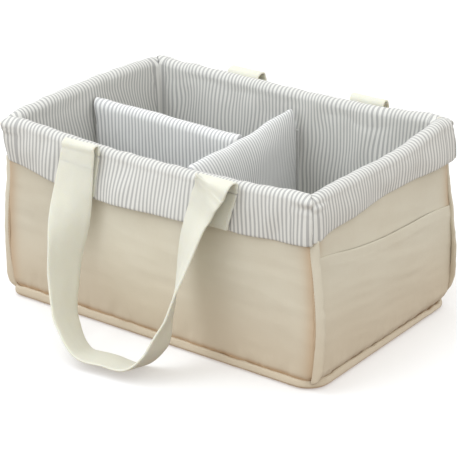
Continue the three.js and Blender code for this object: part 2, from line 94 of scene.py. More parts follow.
# Each side: quarter turns from the front, bow of its shell, height of the folds inside it, and
# tables of place along the side in millimetres against the top of the flange, the drop of the
# crest, its lean outwards, the flare of the cuff and the level of the hem
SIDES = {
    "front": {
        "turns": 0,
        "flange": [(-189, 12.5), (-100, 11.5), (0, 10.5), (120, 9.8), (189, 9.5)],
        "bow": 2.5 * MM,
        "folds": 0.6 * MM,
        "crest_drop": [
            (-185, -3), (-165, -3), (-110, 3), (-40, 7), (40, 7), (110, 4), (165, 0), (185, 0),
        ],
        "crest_lean": [(-185, 6), (-120, 0), (120, 0), (185, 1)],
        "flare": [(-189, -1.5), (-150, 0), (189, 0)],
        "hem": [
            (-189, 150), (-169, 149.5), (-149, 147), (-117, 141), (-59, 136), (-22, 137),
            (14, 138), (60, 139.5), (84, 141), (110, 140.5), (129, 142), (151, 143), (173, 145),
            (189, 147),
        ],
    },
    "right": {
        "turns": 1,
        "flange": [(-121, 9.5), (-60, 10), (0, 9.4), (60, 8), (100, 6.8), (121, 6.5)],
        "bow": 3.5 * MM,
        "folds": 0.8 * MM,
        "crest_drop": [(-120, 0), (-98, 0), (-40, 0), (40, -1), (98, -8), (120, -9)],
        "crest_lean": [(-120, 1), (0, 2), (98, 3), (120, 3)],
        "flare": [(-122, 0), (40, 0), (122, 6)],
        "hem": [(-122, 147), (-107, 151), (-59, 155), (26, 159), (62, 158), (122, 157)],
    },
    "back": {
        "turns": 2,
        "flange": [(-189, 9.5), (189, 9.5)],
        "bow": 2.5 * MM,
        "folds": 1.5 * MM,
        "crest_drop": [
            (-185, -9), (-165, -8), (-100, -3), (0, -3), (60, -4), (110, -5), (185, -6),
        ],
        "crest_lean": [(-185, 3), (0, 4), (185, 3)],
        "flare": [(-189, 6), (-130, 1), (189, 0)],
        "hem": [(-189, 157), (-100, 146), (0, 143), (100, 143), (189, 147)],
    },
    "left": {
        "turns": 3,
        "flange": [(-121, 10.5), (121, 10.5)],
        "bow": 3.5 * MM,
        "folds": 0.8 * MM,
        "crest_drop": [(-120, -6), (-98, -7), (-40, -8), (40, -7), (98, -5), (120, -3)],
        "crest_lean": [(-120, 3), (-60, 5), (60, 6), (120, 6)],
        "flare": [(-122, 0), (60, 0), (122, -1.5)],
        "hem": [(-122, 147), (-60, 146), (0, 145), (60, 147), (122, 150)],
    },
}

# Random folds of each kind: seed, how wide they are along and up the cloth, and typical height
CUFF_WAVE = 0.9 * MM
FOLDS = {
    "shell_swell": (11, 80 * MM, 55 * MM, 0.55 * MM),
    "shell_slant": (31, 60 * MM, 12 * MM, 0.15 * MM),
    "shell_pucker": (51, 6 * MM, 26 * MM, 0.4 * MM),
    "pocket_swell": (61, 70 * MM, 60 * MM, 0.35 * MM),
    "inside": (100, 42 * MM, 110 * MM, 1 / 1.2),
    "crease": (101, 22 * MM, 40 * MM, 0.35 * MM),
    "cuff_wave": (102, 70 * MM, 1, CUFF_WAVE),
    "bunch": (104, 7 * MM, 9 * MM, 1.1 * MM),
    "swirl": (105, 7 * MM, 9 * MM, 2.2 * MM),
    "stripe_wander": (105, 55 * MM, 60 * MM, 1.5 * MM),
    "roll_wander": (107, 50 * MM, 1, 2.5 * MM),
    "roll_depth": (108, 35 * MM, 1, 1),
    "floor": (71, 60 * MM, 60 * MM, 0.25 * MM),
    "flange_height": (51, 14 * MM, 1, 0.25 * MM),
    "flange_lean": (53, 17 * MM, 1, 0.3 * MM),
    "welt_reach": (200, 9 * MM, 1, 0.25 * MM),
    "welt_sway": (209, 24 * MM, 1, 0.35 * MM),
    "webbing": (301, 45 * MM, 30 * MM, 0.2 * MM),
    "pad_puff": (401, 34 * MM, 44 * MM, 1),
    "pad_top": (402, 30 * MM, 1, 0.25 * MM),
}
FOLD_WAVES = 28


# Numbers: smooth steps, curves through tables and even random folds
def smooth(x):
    held = np.clip(x, 0, 1)
    return held * held * (3 - 2 * held)


def mix(a, b, share):
    return a + (b - a) * share


def bell(x, width):
    return np.exp(-(x / width) ** 2)


def unit(vectors):
    return vectors / np.linalg.norm(vectors, axis=-1, keepdims=True)


def joined(*parts):
    """The parts, broadcast together, side by side along a new last axis."""
    return np.stack(np.broadcast_arrays(*parts), axis=-1)


def run_lengths(points):
    """Length along a line of points up to each of them."""
    return np.concatenate([[0], np.cumsum(np.linalg.norm(np.diff(points, axis=0), axis=1))])


def curve(table, x):
    """Smooth curve through the rows of a table of places and values."""
    places, values = np.array(table, float).T
    slopes = np.gradient(values, places)
    x = np.clip(np.asarray(x, float), places[0], places[-1])
    i = np.clip(np.searchsorted(places, x) - 1, 0, len(places) - 2)
    span = places[i + 1] - places[i]
    t = (x - places[i]) / span
    start = values[i] * (1 + 2 * t) * (1 - t) ** 2 + slopes[i] * span * t * (1 - t) ** 2
    end = values[i + 1] * t * t * (3 - 2 * t) + slopes[i + 1] * span * t * t * (t - 1)
    return start + end


def curve_through(places, rows, at):
    """Every column of rows at new places, on smooth curves."""
    return joined(*(curve(list(zip(places, column)), at) for column in rows.T))


def millimetres(table, x):
    """Value of a table in millimetres at a place in metres."""
    return curve(table, np.asarray(x) / MM) * MM


def folds(kind, number, u, v=0.0):
    """Random folds of a kind at u along and v up the cloth. number goes on to the seed."""
    seed, span_u, span_v, height = FOLDS[kind]
    rng = np.random.default_rng(seed + number)
    total = 0
    for _ in range(FOLD_WAVES):
        across, along, phase = rng.normal(), rng.normal(), rng.uniform(0, 2 * np.pi)
        total = total + np.cos(np.pi * (across * u / span_u + along * v / span_v) + phase)
    return total * math.sqrt(2 / FOLD_WAVES) * height


# Meshes
def add_object(name, data):
    obj = bpy.data.objects.new(name, data)
    bpy.context.scene.collection.objects.link(obj)
    return obj


def new_mesh(name, points, faces, pairs, flip=False):
    """An object from points and faces, with one uv pair for each corner of each face."""
    mesh = bpy.data.meshes.new(name)
    if flip:
        faces = [tuple(reversed(face)) for face in faces]
        pairs = [pair[::-1] for pair in pairs]
    mesh.from_pydata([tuple(p) for p in points], [], faces)
    layer = mesh.uv_layers.new(name="cloth")
    layer.data.foreach_set("uv", np.concatenate(pairs).astype(np.float32).ravel())
    mesh.polygons.foreach_set("use_smooth", [len(face) == 4 for face in faces])
    mesh.update()
    return add_object(name, mesh)


def cell_corners(grid):
    return grid[:-1, :-1], grid[:-1, 1:], grid[1:, 1:], grid[1:, :-1]


def grid_mesh(name, points, uv, ring=False, capped=False, looped=False, flip=False):
    """A sheet of quads from rows of points. ring closes each row, looped joins the last row to
    the first and capped closes both ends. A ring has one more column of uv, a loop one more row."""
    rows, columns = points.shape[:2]
    index = np.arange(rows * columns).reshape(rows, columns)
    if ring:
        index = np.hstack([index, index[:, :1]])
    if looped:
        index = np.vstack([index, index[:1]])
    faces = np.stack([corner.ravel() for corner in cell_corners(index)], axis=1)
    faces = [tuple(face) for face in faces.tolist()]
    pairs = list(np.stack([corner.reshape(-1, 2) for corner in cell_corners(uv)], axis=1))
    if capped:
        for row, step in ((0, -1), (rows - 1, 1)):
            order = list(range(columns))[::step]
            faces.append(tuple(int(index[row, column]) for column in order))
            pairs.append(np.array([uv[row, column] for column in order]))
    return new_mesh(name, points.reshape(-1, 3), faces, pairs, flip)


def solid(obj, thickness, offset=-1.0):
    """Gives a sheet of cloth its thickness."""
    modifier = obj.modifiers.new("thickness", "SOLIDIFY")
    modifier.thickness = thickness
    modifier.offset = offset
    modifier.use_even_offset = False
    return obj


def piece(obj, slot, body, *nodes, material=None):
    """Finishes a piece: its material, that of its slot unless one is given, its body and the nodes
    that it stands for.
    """
    obj.data.materials.append(material or MATERIALS[slot])
    if body:
        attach(obj, body)
    if nodes:
        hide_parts(*nodes)
    return obj


# Materials
SPECULAR = 0.2
SHEEN_ROUGHNESS = 0.5
NOISE_ROUGHNESS = 0.55


class Nodes:
    """Adds nodes to the tree of a material or of the world. Inputs are numbers or sockets."""

    def __init__(self, tree):
        self.tree = tree

    def add(self, kind, inputs, **settings):
        node = self.tree.nodes.new(kind)
        for key, value in settings.items():
            setattr(node, key, value)
        for key, value in inputs.items():
            if isinstance(value, bpy.types.NodeSocket):
                self.tree.links.new(value, node.inputs[key])
            else:
                node.inputs[key].default_value = value
        return node

    def calc(self, operation, *values):
        node = self.add("ShaderNodeMath", dict(enumerate(values)), operation=operation)
        return node.outputs[0]

    def mixed(self, factor, a, b):
        """Colour between two, each a socket or a linear colour."""
        inputs = {0: factor}
        for key, value in ((6, a), (7, b)):
            inputs[key] = (*value, 1) if isinstance(value, tuple) else value
        return self.add("ShaderNodeMix", inputs, data_type="RGBA").outputs[2]

    def ramp(self, value, low, high, first=0.0, last=1.0):
        """Smooth step from first to last as the value goes from low to high."""
        inputs = {
            "Value": value, "From Min": low, "From Max": high, "To Min": first, "To Max": last,
        }
        node = self.add("ShaderNodeMapRange", inputs, interpolation_type="SMOOTHSTEP")
        return node.outputs[0]

    def cloth_axes(self):
        """The place on the cloth and its two coordinates, in metres."""
        place = self.add("ShaderNodeUVMap", {}, uv_map="cloth").outputs[0]
        split = self.add("ShaderNodeSeparateXYZ", {0: place})
        return place, split.outputs[0], split.outputs[1]

    def wave(self, value, pitch, operation="SINE"):
        return self.calc(operation, self.calc("MULTIPLY", value, 2 * math.pi / pitch))

    def weave(self, u, v, pitch):
        """Height of a plain weave: threads over and under, from -1 to 1."""
        return self.calc("MULTIPLY", self.wave(u, pitch), self.wave(v, pitch))

    def noise(self, place, scale, detail=3.0):
        """Noise from 0 to 1, with its own scale along each axis, per metre."""
        mapping = self.add("ShaderNodeMapping", {"Vector": place, "Scale": scale})
        inputs = {
            "Vector": mapping.outputs[0], "Scale": 1.0, "Detail": detail,
            "Roughness": NOISE_ROUGHNESS,
        }
        return self.add("ShaderNodeTexNoise", inputs).outputs["Fac"]

    def finish(self, shader, colour, height, distance, strength):
        """Links the colour to the shader, and the height as fine relief."""
        self.tree.links.new(colour, shader.inputs["Base Color"])
        inputs = {"Height": height, "Distance": distance, "Strength": strength}
        relief = self.add("ShaderNodeBump", inputs).outputs[0]
        self.tree.links.new(relief, shader.inputs["Normal"])


def new_material(name, roughness, sheen):
    material = bpy.data.materials.new(name)
    material.use_nodes = True
    shader = material.node_tree.nodes["Principled BSDF"]
    settings = {
        "Roughness": roughness, "Specular IOR Level": SPECULAR, "Sheen Weight": sheen,
        "Sheen Roughness": SHEEN_ROUGHNESS,
    }
    for key, value in settings.items():
        shader.inputs[key].default_value = value
    return material, Nodes(material.node_tree), shader


def linear(colour):
    """Linear colour of an sRGB one, given from 0 to 255."""
    shares = [value / 255 for value in colour]
    return tuple(
        share / 12.92 if share <= 0.04045 else ((share + 0.055) / 1.055) ** 2.4
        for share in shares
    )


# Pitches of stripes and threads, scales of the noises that break them up, and sRGB colours
STRIPE_PITCH = 4.35 * MM
STRIPE_SHARE = 0.45
STRIPE_SOFTNESS = 0.16
STRIPE_WOBBLE = 1.1 * MM
WOBBLE_SCALE = (30, 12, 1)
YARN_SCALE = (2600, 160, 1)
YARN_FADE = (0.35, 0.82)
COTTON_PITCH = 0.42 * MM
COTTONS = {
    "striped_cotton": ((221, 221, 216), (178, 178, 176)),
    # Divider covers: a lighter copy of the striped cotton, painted light that brightens them inside
    # the compartments
    "striped_cotton_painted_light": ((236, 237, 235), (190, 191, 192)),
}
CANVAS_PITCH = 0.75 * MM
WARP_SCALE = (1500, 90, 1)
WEFT_SCALE = (80, 1400, 1)
CANVAS_PATCH_SCALE = (14, 14, 1)
CANVAS_LIGHT = (216, 211, 194)
CANVAS_SHADE = (204, 194, 173)
# Painted shade: the canvas grows warmer and darker towards its foot, up to the height below
CANVAS_FOOT_PAINTED_SHADE = (205, 191, 168)
# Painted shade in the seam grooves, together with the warmer tone of their stitching; also a
# painted contact shadow under the flange
CANVAS_SEAM_SHADE = (192, 164, 131)
PAINTED_FOOT_SHADE_TOP = 115 * MM
PAINTED_FOOT_SHADE = 0.9
RIB_PITCH = 1.3 * MM
RIB_ZIGZAG = 5 * MM
RIB_THREAD_PITCH = 0.8 * MM
WEBBING_PATCH_SCALE = (60, 25, 1)
SPECK_SCALE = (1100, 1100, 1)
WEBBING_LIGHT = (226, 226, 213)
WEBBING_SHADE = (214, 213, 199)
# Light that the webbing lets through: its share, how far each colour goes, and the unit of that
WEBBING_GLOW = {
    "Subsurface Weight": 0.3,
    "Subsurface Radius": (1.0, 0.85, 0.55),
    "Subsurface Scale": 3 * MM,
}
PATCH_MIDDLE = 0.6
# Fine relief of each cloth: its depth and strength
COTTON_RELIEF = (0.05 * MM, 0.5)
CANVAS_RELIEF = (0.07 * MM, 0.6)
WEBBING_RELIEF = (0.1 * MM, 0.6)
# Plain stuff with an even grain: roughness, grains per metre, two colours and depth of the grain
GRAINS = {
    "wadding": (0.95, 900, (238, 236, 226), (220, 216, 202), 0.4 * MM),
    "stiff_board": (0.8, 400, (176, 162, 138), (150, 136, 112), 0.1 * MM),
    "hook_and_loop": (1.0, 1500, (226, 226, 224), (196, 196, 194), 0.4 * MM),
    "seam_thread": (0.7, 2500, (202, 168, 138), (170, 136, 104), 0.05 * MM),
    "pale_thread": (0.7, 2500, (222, 220, 204), (204, 200, 182), 0.05 * MM),
}


def striped_cotton(name, light, dark):
    material, nodes, shader = new_material(name, 0.9, 0.1)
    place, u, v = nodes.cloth_axes()
    wobble = nodes.calc("SUBTRACT", nodes.noise(place, WOBBLE_SCALE, 2.0), 0.5)
    across = nodes.calc("MULTIPLY_ADD", wobble, STRIPE_WOBBLE, u)
    edge = math.cos(math.pi * STRIPE_SHARE)
    profile = nodes.wave(across, STRIPE_PITCH, "COSINE")
    stripe = nodes.ramp(profile, edge - STRIPE_SOFTNESS, edge + STRIPE_SOFTNESS)
    yarn = nodes.calc("MULTIPLY_ADD", nodes.noise(place, YARN_SCALE, 2.0), *YARN_FADE)
    worn = nodes.calc("MULTIPLY", stripe, yarn)
    colour = nodes.mixed(worn, linear(light), linear(dark))
    nodes.finish(shader, colour, nodes.weave(u, v, COTTON_PITCH), *COTTON_RELIEF)
    return material


def canvas_cloth():
    material, nodes, shader = new_material("canvas", 0.92, 0.12)
    place, u, v = nodes.cloth_axes()
    threads = nodes.calc("ADD", nodes.noise(place, WARP_SCALE), nodes.noise(place, WEFT_SCALE))
    patch = nodes.calc("SUBTRACT", nodes.noise(place, CANVAS_PATCH_SCALE, 4.0), PATCH_MIDDLE)
    share = nodes.calc("MULTIPLY_ADD", threads, 0.35, patch)
    cloth = nodes.mixed(share, linear(CANVAS_LIGHT), linear(CANVAS_SHADE))
    # Painted shade: warmer and darker towards the foot of the cloth
    foot = nodes.ramp(v, 0.0, PAINTED_FOOT_SHADE_TOP, PAINTED_FOOT_SHADE, 0.0)
    # Painted shade in the seam grooves and under the flange, with the warmer tone of the stitching
    seam = nodes.add("ShaderNodeAttribute", {}, attribute_name="seam").outputs["Fac"]
    colour = nodes.mixed(seam, nodes.mixed(foot, cloth, linear(CANVAS_FOOT_PAINTED_SHADE)), linear(CANVAS_SEAM_SHADE))
    grain = nodes.calc("MULTIPLY_ADD", threads, 0.8, nodes.weave(u, v, CANVAS_PITCH))
    nodes.finish(shader, colour, grain, *CANVAS_RELIEF)
    return material


def webbing_cloth():
    material, nodes, shader = new_material("cotton_webbing", 0.88, 0.12)
    place, u, v = nodes.cloth_axes()
    rib = nodes.wave(nodes.calc("ADD", v, nodes.calc("PINGPONG", u, RIB_ZIGZAG)), RIB_PITCH)
    height = nodes.calc("MULTIPLY_ADD", nodes.wave(u, RIB_THREAD_PITCH), 0.4, rib)
    patch = nodes.calc("SUBTRACT", nodes.noise(place, WEBBING_PATCH_SCALE, 4.0), PATCH_MIDDLE)
    mottle = nodes.calc("MULTIPLY_ADD", nodes.noise(place, SPECK_SCALE, 2.0), 0.8, patch)
    shade = nodes.calc("MULTIPLY_ADD", rib, -0.12, mottle)
    for key, value in WEBBING_GLOW.items():
        shader.inputs[key].default_value = value
    colour = nodes.mixed(shade, linear(WEBBING_LIGHT), linear(WEBBING_SHADE))
    nodes.finish(shader, colour, height, *WEBBING_RELIEF)
    return material


def grainy(name, roughness, scale, light, dark, depth):
    material, nodes, shader = new_material(name, roughness, 0.05)
    place = nodes.add("ShaderNodeTexCoord", {}).outputs["Object"]
    grain = nodes.noise(place, (scale, scale, scale), 4.0)
    nodes.finish(shader, nodes.mixed(grain, linear(light), linear(dark)), grain, depth, 0.5)
    return material


MATERIALS = {name: striped_cotton(name, *colours) for name, colours in COTTONS.items()}
MATERIALS["canvas"] = canvas_cloth()
MATERIALS["cotton_webbing"] = webbing_cloth()
MATERIALS.update({name: grainy(name, *grain) for name, grain in GRAINS.items()})


# Walls: places along a side and points of a layer
CORNER_GROWTH = 0.35
CORNER_TURN = math.radians(45) * 0.997


def turned(points, side):
    """Points of the front, turned to a side."""
    x, y, z = points[..., 0], points[..., 1], points[..., 2]
    for _ in range(side["turns"]):
        x, y = -y, x
    return joined(x, y, z)


def halves(side):
    """Half of the inside along a side and across from it."""
    if side["turns"] % 2 == 0:
        return inner_half_x, inner_half_y
    return inner_half_y, inner_half_x


def side_columns(side, step, corner_steps):
    """Places along the straight run of a side, and shares of the way round each half corner."""
    straight = halves(side)[0] - INNER_CORNER
    base = np.linspace(-straight, straight, math.ceil(2 * straight / step) + 1)
    share = np.linspace(0, 1, corner_steps + 1)[1:]
    ends = np.full(corner_steps, straight)
    return (
        np.concatenate([-ends, base, ends]),
        np.concatenate([-share[::-1], np.zeros(len(base)), share]),
    )


def plan(base, share, half_along, half_out, corner, push=0.0):
    """Place along, place out and length along the cloth of points in one layer."""
    straight = np.maximum(half_along - corner - np.abs(base).max(), 0)
    reach = np.abs(share) * (straight + corner * CORNER_TURN)
    turn = np.maximum(reach - straight, 0) / corner
    sign = np.where(base < 0, -1, 1)
    along = np.abs(base) + np.minimum(reach, straight) + (corner + push) * np.sin(turn)
    out = half_out - corner + (corner + push) * np.cos(turn)
    length = sign * (np.abs(base) + reach)
    return np.broadcast_arrays(sign * along, out, length)


def on_side(side, along, out, level):
    return turned(joined(along, -out, level), side)


def middle_share(base, share):
    """1 at the middle of a side, falling to 0 at its corners."""
    run = np.abs(base) / np.abs(base).max()
    return np.where(share == 0, (1 - run ** 2) ** 2, 0)


def inner_layer(side, depth):
    """Half length and half depth of the wall at a depth from its inside, and its corner."""
    half_along, half_out = halves(side)
    return half_along + depth, half_out + depth, INNER_CORNER + CORNER_GROWTH * depth


def shell_layer(side, level, inset=0.0):
    """Half length and half depth of the shell at a level, and its corner."""
    height = level / RIM_TOP
    swell = curve(SWELL_SHARES, height)
    foot = curve(FOOT_CORNER_SHARES, height) * (FOOT_CORNER - SHELL_CORNER)
    rim_corner = INNER_CORNER + CORNER_GROWTH * panel_depth
    rim = curve(RIM_CORNER_SHARES, height) * (rim_corner - SHELL_CORNER)
    half_x = inner_half_x + panel_depth + END_SWELL * swell - inset
    half_y = inner_half_y + panel_depth + LONG_SWELL * swell - inset
    corner = SHELL_CORNER + foot + rim - inset
    return (half_x, half_y, corner) if side["turns"] % 2 == 0 else (half_y, half_x, corner)


def crest_place(side, base, share):
    return plan(base, share, *inner_layer(side, wall_depth))[0]


def crest(side, place):
    """Drop of the crest and its lean outwards at a place along a side."""
    return millimetres(side["crest_drop"], place), millimetres(side["crest_lean"], place)


def rim_rise(level):
    """How far up the wall a level is, for what only the top of the wall does."""
    return smooth((level / RIM_TOP - 0.5) * 2)


# Shell: canvas panels that swell between the flange, the welts and the cuff
SHELL_STEP = 2.6 * MM
SHELL_CORNER_STEPS = 7
SHELL_BOTTOM = flange_high.z - 9 * MM
FOOT_SEAM = flange_high.z - 2 * MM
SHELL_TOP = crest_level - FIT_GAP
FOOT_BAND = 15 * MM
FOOT_ROWS, WALL_ROWS = 13, 58
SLANT = 2.5
FOLD_FLATNESS = 0.7
PUCKER_HEIGHT = 16 * MM
FOOT_GROOVE = 1.9 * MM
FOOT_GROOVE_HEIGHT = 3 * MM
# Painted shade in the grooves at the corner seams and the foot seam, with the warmer tone of the
# stitching: its share and reach
SEAM_SHADE_SHARE = 0.75
SEAM_SHADE_REACH = 10 * MM
FOOT_GROOVE_SHADE_SHARE = 1.0
FOOT_GROOVE_SHADE_REACH = 3.6 * MM


def shell_arch(level):
    """0 at the foot and the rim of the shell, 1 half way up."""
    return np.sin(np.pi * np.clip((level - SHELL_BOTTOM) / (crest_level - SHELL_BOTTOM), 0, 1))


def shell_bow(side, base, share, level):
    return side["bow"] * middle_share(base, share) * shell_arch(level)


def shell_folds(side, u, level):
    """Soft swells and creases of the canvas, and puckers at its foot seam."""
    number = side["turns"]
    above_foot = level - millimetres(side["flange"], u)
    soft = folds("shell_swell", number, u, level)
    slant = folds("shell_slant", number, u + level * SLANT, level)
    puckers = folds("shell_pucker", number, u, level) * bell(above_foot, PUCKER_HEIGHT)
    groove = FOOT_GROOVE * bell(above_foot, FOOT_GROOVE_HEIGHT)
    return (soft + slant) * shell_arch(level) ** FOLD_FLATNESS + puckers - groove


def shell_surface(side, base, share, level):
    """Layer of the shell at a level, length along its cloth and push of its bow and folds."""
    layer = shell_layer(side, level)
    u = plan(base, share, *layer)[2]
    return layer, u, shell_bow(side, base, share, level) + shell_folds(side, u, level)


def mark_seam_shade(obj, shares):
    """Keeps at each point a share of painted shade: shade in the seam grooves, with the warmer tone
    of the stitching there, and a painted contact shadow under the flange.
    """
    layer = obj.data.attributes.new("seam", "FLOAT", "POINT")
    layer.data.foreach_set("value", shares.astype(np.float32).ravel())


def canvas_panel(name):
    side = SIDES[name]
    base, share = side_columns(side, SHELL_STEP, SHELL_CORNER_STEPS)
    band_top = SHELL_BOTTOM + FOOT_BAND
    foot_levels = np.linspace(SHELL_BOTTOM, band_top, FOOT_ROWS)[:-1]
    wall_levels = np.linspace(band_top, SHELL_TOP, WALL_ROWS)
    levels = np.concatenate([foot_levels, wall_levels])[:, None]
    layer, _, push = shell_surface(side, base, share, levels)
    along, out, u = plan(base, share, *layer, push)
    drop, lean = crest(side, crest_place(side, base, share))
    rise = rim_rise(levels)
    points = on_side(side, along, out + lean * rise, levels - drop * rise)
    obj = solid(grid_mesh(f"{name}_canvas", points, joined(u, levels)), CLOTH)
    from_end = np.abs(u).max(axis=1, keepdims=True) - np.abs(u)
    above_foot = levels - millimetres(side["flange"], u)
    # Painted groove shade beside the corner welts and above the flange
    corner_seam_shade = SEAM_SHADE_SHARE * bell(from_end, SEAM_SHADE_REACH)
    mark_seam_shade(obj, np.maximum(corner_seam_shade, FOOT_GROOVE_SHADE_SHARE * bell(above_foot, FOOT_GROOVE_SHADE_REACH)))
    piece(obj, "canvas", "caddy", f"{name}_panel")


# Pads: foam sheets inside the walls
PAD_STEP = 8 * MM
PAD_CORNER_STEPS = 3
PAD_ROWS, CROWN_ROWS = 30, 9
PAD_RISE = 1.5 * MM
PAD_RECESS = 1.6
PAD_BOW = 0.8


def wall_pad(name):
    side = SIDES[name]
    base, share = side_columns(side, PAD_STEP, PAD_CORNER_STEPS)
    drop, lean = crest(side, crest_place(side, base, share))
    levels = np.linspace(floor_top, crest_level + PAD_RISE, PAD_ROWS)
    rows = []

    def add_row(layer, level, push=0.0):
        along, out, _ = plan(base, share, *layer, push)
        rise = rim_rise(level)
        rows.append(on_side(side, along, out + lean * rise, level - drop * rise))

    inside = pad_depth + PAD_RECESS * side["folds"]
    for level in levels:
        add_row(inner_layer(side, inside), level)
    for angle in np.linspace(0, np.pi, CROWN_ROWS)[1:-1]:
        depth = mix(inside, pad_depth + PAD, (1 - math.cos(angle)) / 2)
        add_row(inner_layer(side, depth), crest_level + PAD_RISE + PAD / 2 * math.sin(angle))
    for level in levels[::-1]:
        bow = shell_bow(side, base, share, level) * PAD_BOW
        add_row(shell_layer(side, level, PANEL + FIT_GAP), level, bow)
    points = np.stack(rows).transpose(1, 0, 2)
    uv = np.zeros((points.shape[0], points.shape[1] + 1, 2))
    obj = grid_mesh(f"{name}_foam", points, uv, ring=True, capped=True)
    piece(obj, "wadding", "caddy", f"{name}_pad")


# Lining: up the inside, over the rim and down the outside as a cuff with a turned hem
LINING_STEP = 2.4 * MM
LINING_CORNER_STEPS = 14
LINING_TUCK = 1 * MM
CUFF_DROP = 46 * MM
CUFF_FLARE = 3.5 * MM
CUFF_BOW = 1.5 * MM
CUFF_BULGE = 1.2 * MM
HEM_TURN = 12 * MM
HEM_ROUND = 1.2 * MM
HEM_TUCK = 0.3
INSIDE_FOLD = 1.4
LEAN_START = 0.55
ROLL_GROOVE = 0.6 * MM
ROLL_GROOVE_HEIGHT = 4 * MM
ROLL_DROP = 8 * MM
SEAM_DIP = 0.35 * MM
SEAM_WIDTH = 1.4 * MM
PINCH = 1.2 * MM
PINCH_WIDTH = 7 * MM
BUNCH_WIDTH = 16 * MM
SWIRL_HEIGHT = 22 * MM
# Rows of each stretch of the lining
LINING_ROWS = {"inside": 64, "crest": 18, "cuff": 22, "turn": 6, "back": 6}


def outer_creases(side, u, length):
    return folds("crease", side["turns"] * 10, u, length)


def bunching(kind, side, u, length, from_seam):
    """Small folds where the lining is drawn together at its corners."""
    return folds(kind, side["turns"] * 10, u, length) * bell(from_seam, BUNCH_WIDTH)


def cuff_stand(side, u, middle, share):
    """How far the outer face of the cuff stands out past the wall at a share of its drop."""
    length = math.pi * crest_radius + share * CUFF_DROP
    hang = CUFF_FLARE * share + CUFF_BULGE * np.sin(np.pi * share) + CUFF_BOW * share * middle
    hang = hang + millimetres(side["flare"], u) * smooth(share)
    waves = folds("cuff_wave", side["turns"] * 10, u) * smooth(share)
    return hang + waves + outer_creases(side, u, length)


def lining_rows():
    """Every row from the floor to the end of the turned hem: its stretch and its share of it."""
    for kind, count in LINING_ROWS.items():
        shares = np.linspace(0, 1, count)
        first = 0 if kind in ("inside", "crest") else 1
        for s in shares[first:-1] if kind == "inside" else shares[first:]:
            yield kind, s


def lining_panel(name):
    side = SIDES[name]
    number = side["turns"] * 10
    half_along, half_out = halves(side)
    base, share = side_columns(side, LINING_STEP, LINING_CORNER_STEPS)
    place = crest_place(side, base, share)
    middle = middle_share(base, share)
    drop, lean = crest(side, place)
    top = crest_level - drop
    hem = millimetres(side["hem"], place)
    bottom = floor_top - LINING_TUCK
    outer = wall_depth - CLOTH / 2
    from_seam = half_along + wall_depth - np.abs(place)
    rows, across, above_crest = [], [], []
    for kind, s in lining_rows():
        slope, rise = 0.0, 0.0
        if kind == "inside":
            depth, level = CLOTH / 2, mix(bottom, top, s)
            soft = INSIDE_FOLD * np.tanh(folds("inside", number, base, level))
            stand = lean * smooth((s - LEAN_START) / (1 - LEAN_START))
            stand = stand + side["folds"] * soft * smooth(s * 4) * smooth((1 - s) * 7)
            roll = ROLL_DROP + folds("roll_wander", number, base)
            groove = ROLL_GROOVE * (0.6 + 0.4 * np.tanh(folds("roll_depth", number, base)))
            stand = stand + groove * bell(top - level - roll, ROLL_GROOVE_HEIGHT)
        elif kind == "crest":
            slope = math.pi * s
            radius = crest_radius - CLOTH / 2
            depth, rise = crest_radius - radius * math.cos(slope), radius * math.sin(slope)
            level, stand = top, lean
            puff = outer_creases(side, base, crest_radius * slope) * smooth(s * 3)
            puff = puff + bunching("bunch", side, base, level.mean() + rise, from_seam)
            puff = puff - PINCH * bell(from_seam, PINCH_WIDTH) * math.sin(slope)
            stand = stand - puff * math.cos(slope)
            rise = rise + puff * math.sin(slope)
        elif kind == "cuff":
            depth, level = outer, mix(top, hem, s)
            stand = lean * (1 - s) + cuff_stand(side, place, middle, s)
            drawn = bunching("bunch", side, base, top.mean() - s * CUFF_DROP, from_seam)
            stand = stand + drawn * smooth(1 - 2.5 * s)
        elif kind == "turn":
            angle = math.pi * s
            depth, level = outer - HEM_ROUND * (1 - math.cos(angle)), hem
            rise = -HEM_ROUND * math.sin(angle)
            stand = cuff_stand(side, place, middle, 1)
        else:
            depth, level = outer - 2 * HEM_ROUND, hem + HEM_TURN * s
            stand = cuff_stand(side, place, middle, 1) - CUFF_FLARE * HEM_TUCK * s
        if kind != "inside":
            stand = stand - SEAM_DIP * bell(from_seam, SEAM_WIDTH) * (1 - math.sin(slope))
        along, out, u = plan(base, share, *inner_layer(side, depth), stand)
        out = np.where(share == 0, half_out + depth + stand, out)
        rows.append(on_side(side, along, out, level + rise))
        across.append(u)
        above_crest.append([level.mean() - crest_level])
    points = np.stack(rows)
    lengths = run_lengths(points[:, len(base) // 2])[:, None]
    swirl = bunching("swirl", side, base, lengths, from_seam)
    swirl = swirl * bell(np.array(above_crest), SWIRL_HEIGHT)
    wander = folds("stripe_wander", number, base, lengths)
    uv = joined(np.stack(across) + (wander + swirl) * (share == 0), lengths)
    obj = solid(grid_mesh(f"{name}_cloth", points, uv), CLOTH, 0.0)
    piece(obj, "striped_cotton", "caddy", f"{name}_lining")


# Layers of the bottom: the node of each slab, its slot, its corner and its rounded edge
SLABS = {
    "base_canvas": ("base_panel", "canvas", 19 * MM, 1.2 * MM),
    "base_stiffener": ("base_board", "stiff_board", 17 * MM, 0.8 * MM),
    "base_foam": ("base_pad", "wadding", 13 * MM, 1.4 * MM),
}
SLAB_STEP = 6 * MM
EDGE_SHARE = 0.3
FLOOR_COLUMNS, FLOOR_ROWS = 80, 50
FLOOR_DEPTH = 0.5 * MM
FLOOR_LIFTS = (-0.4 * MM, 0.5 * MM)


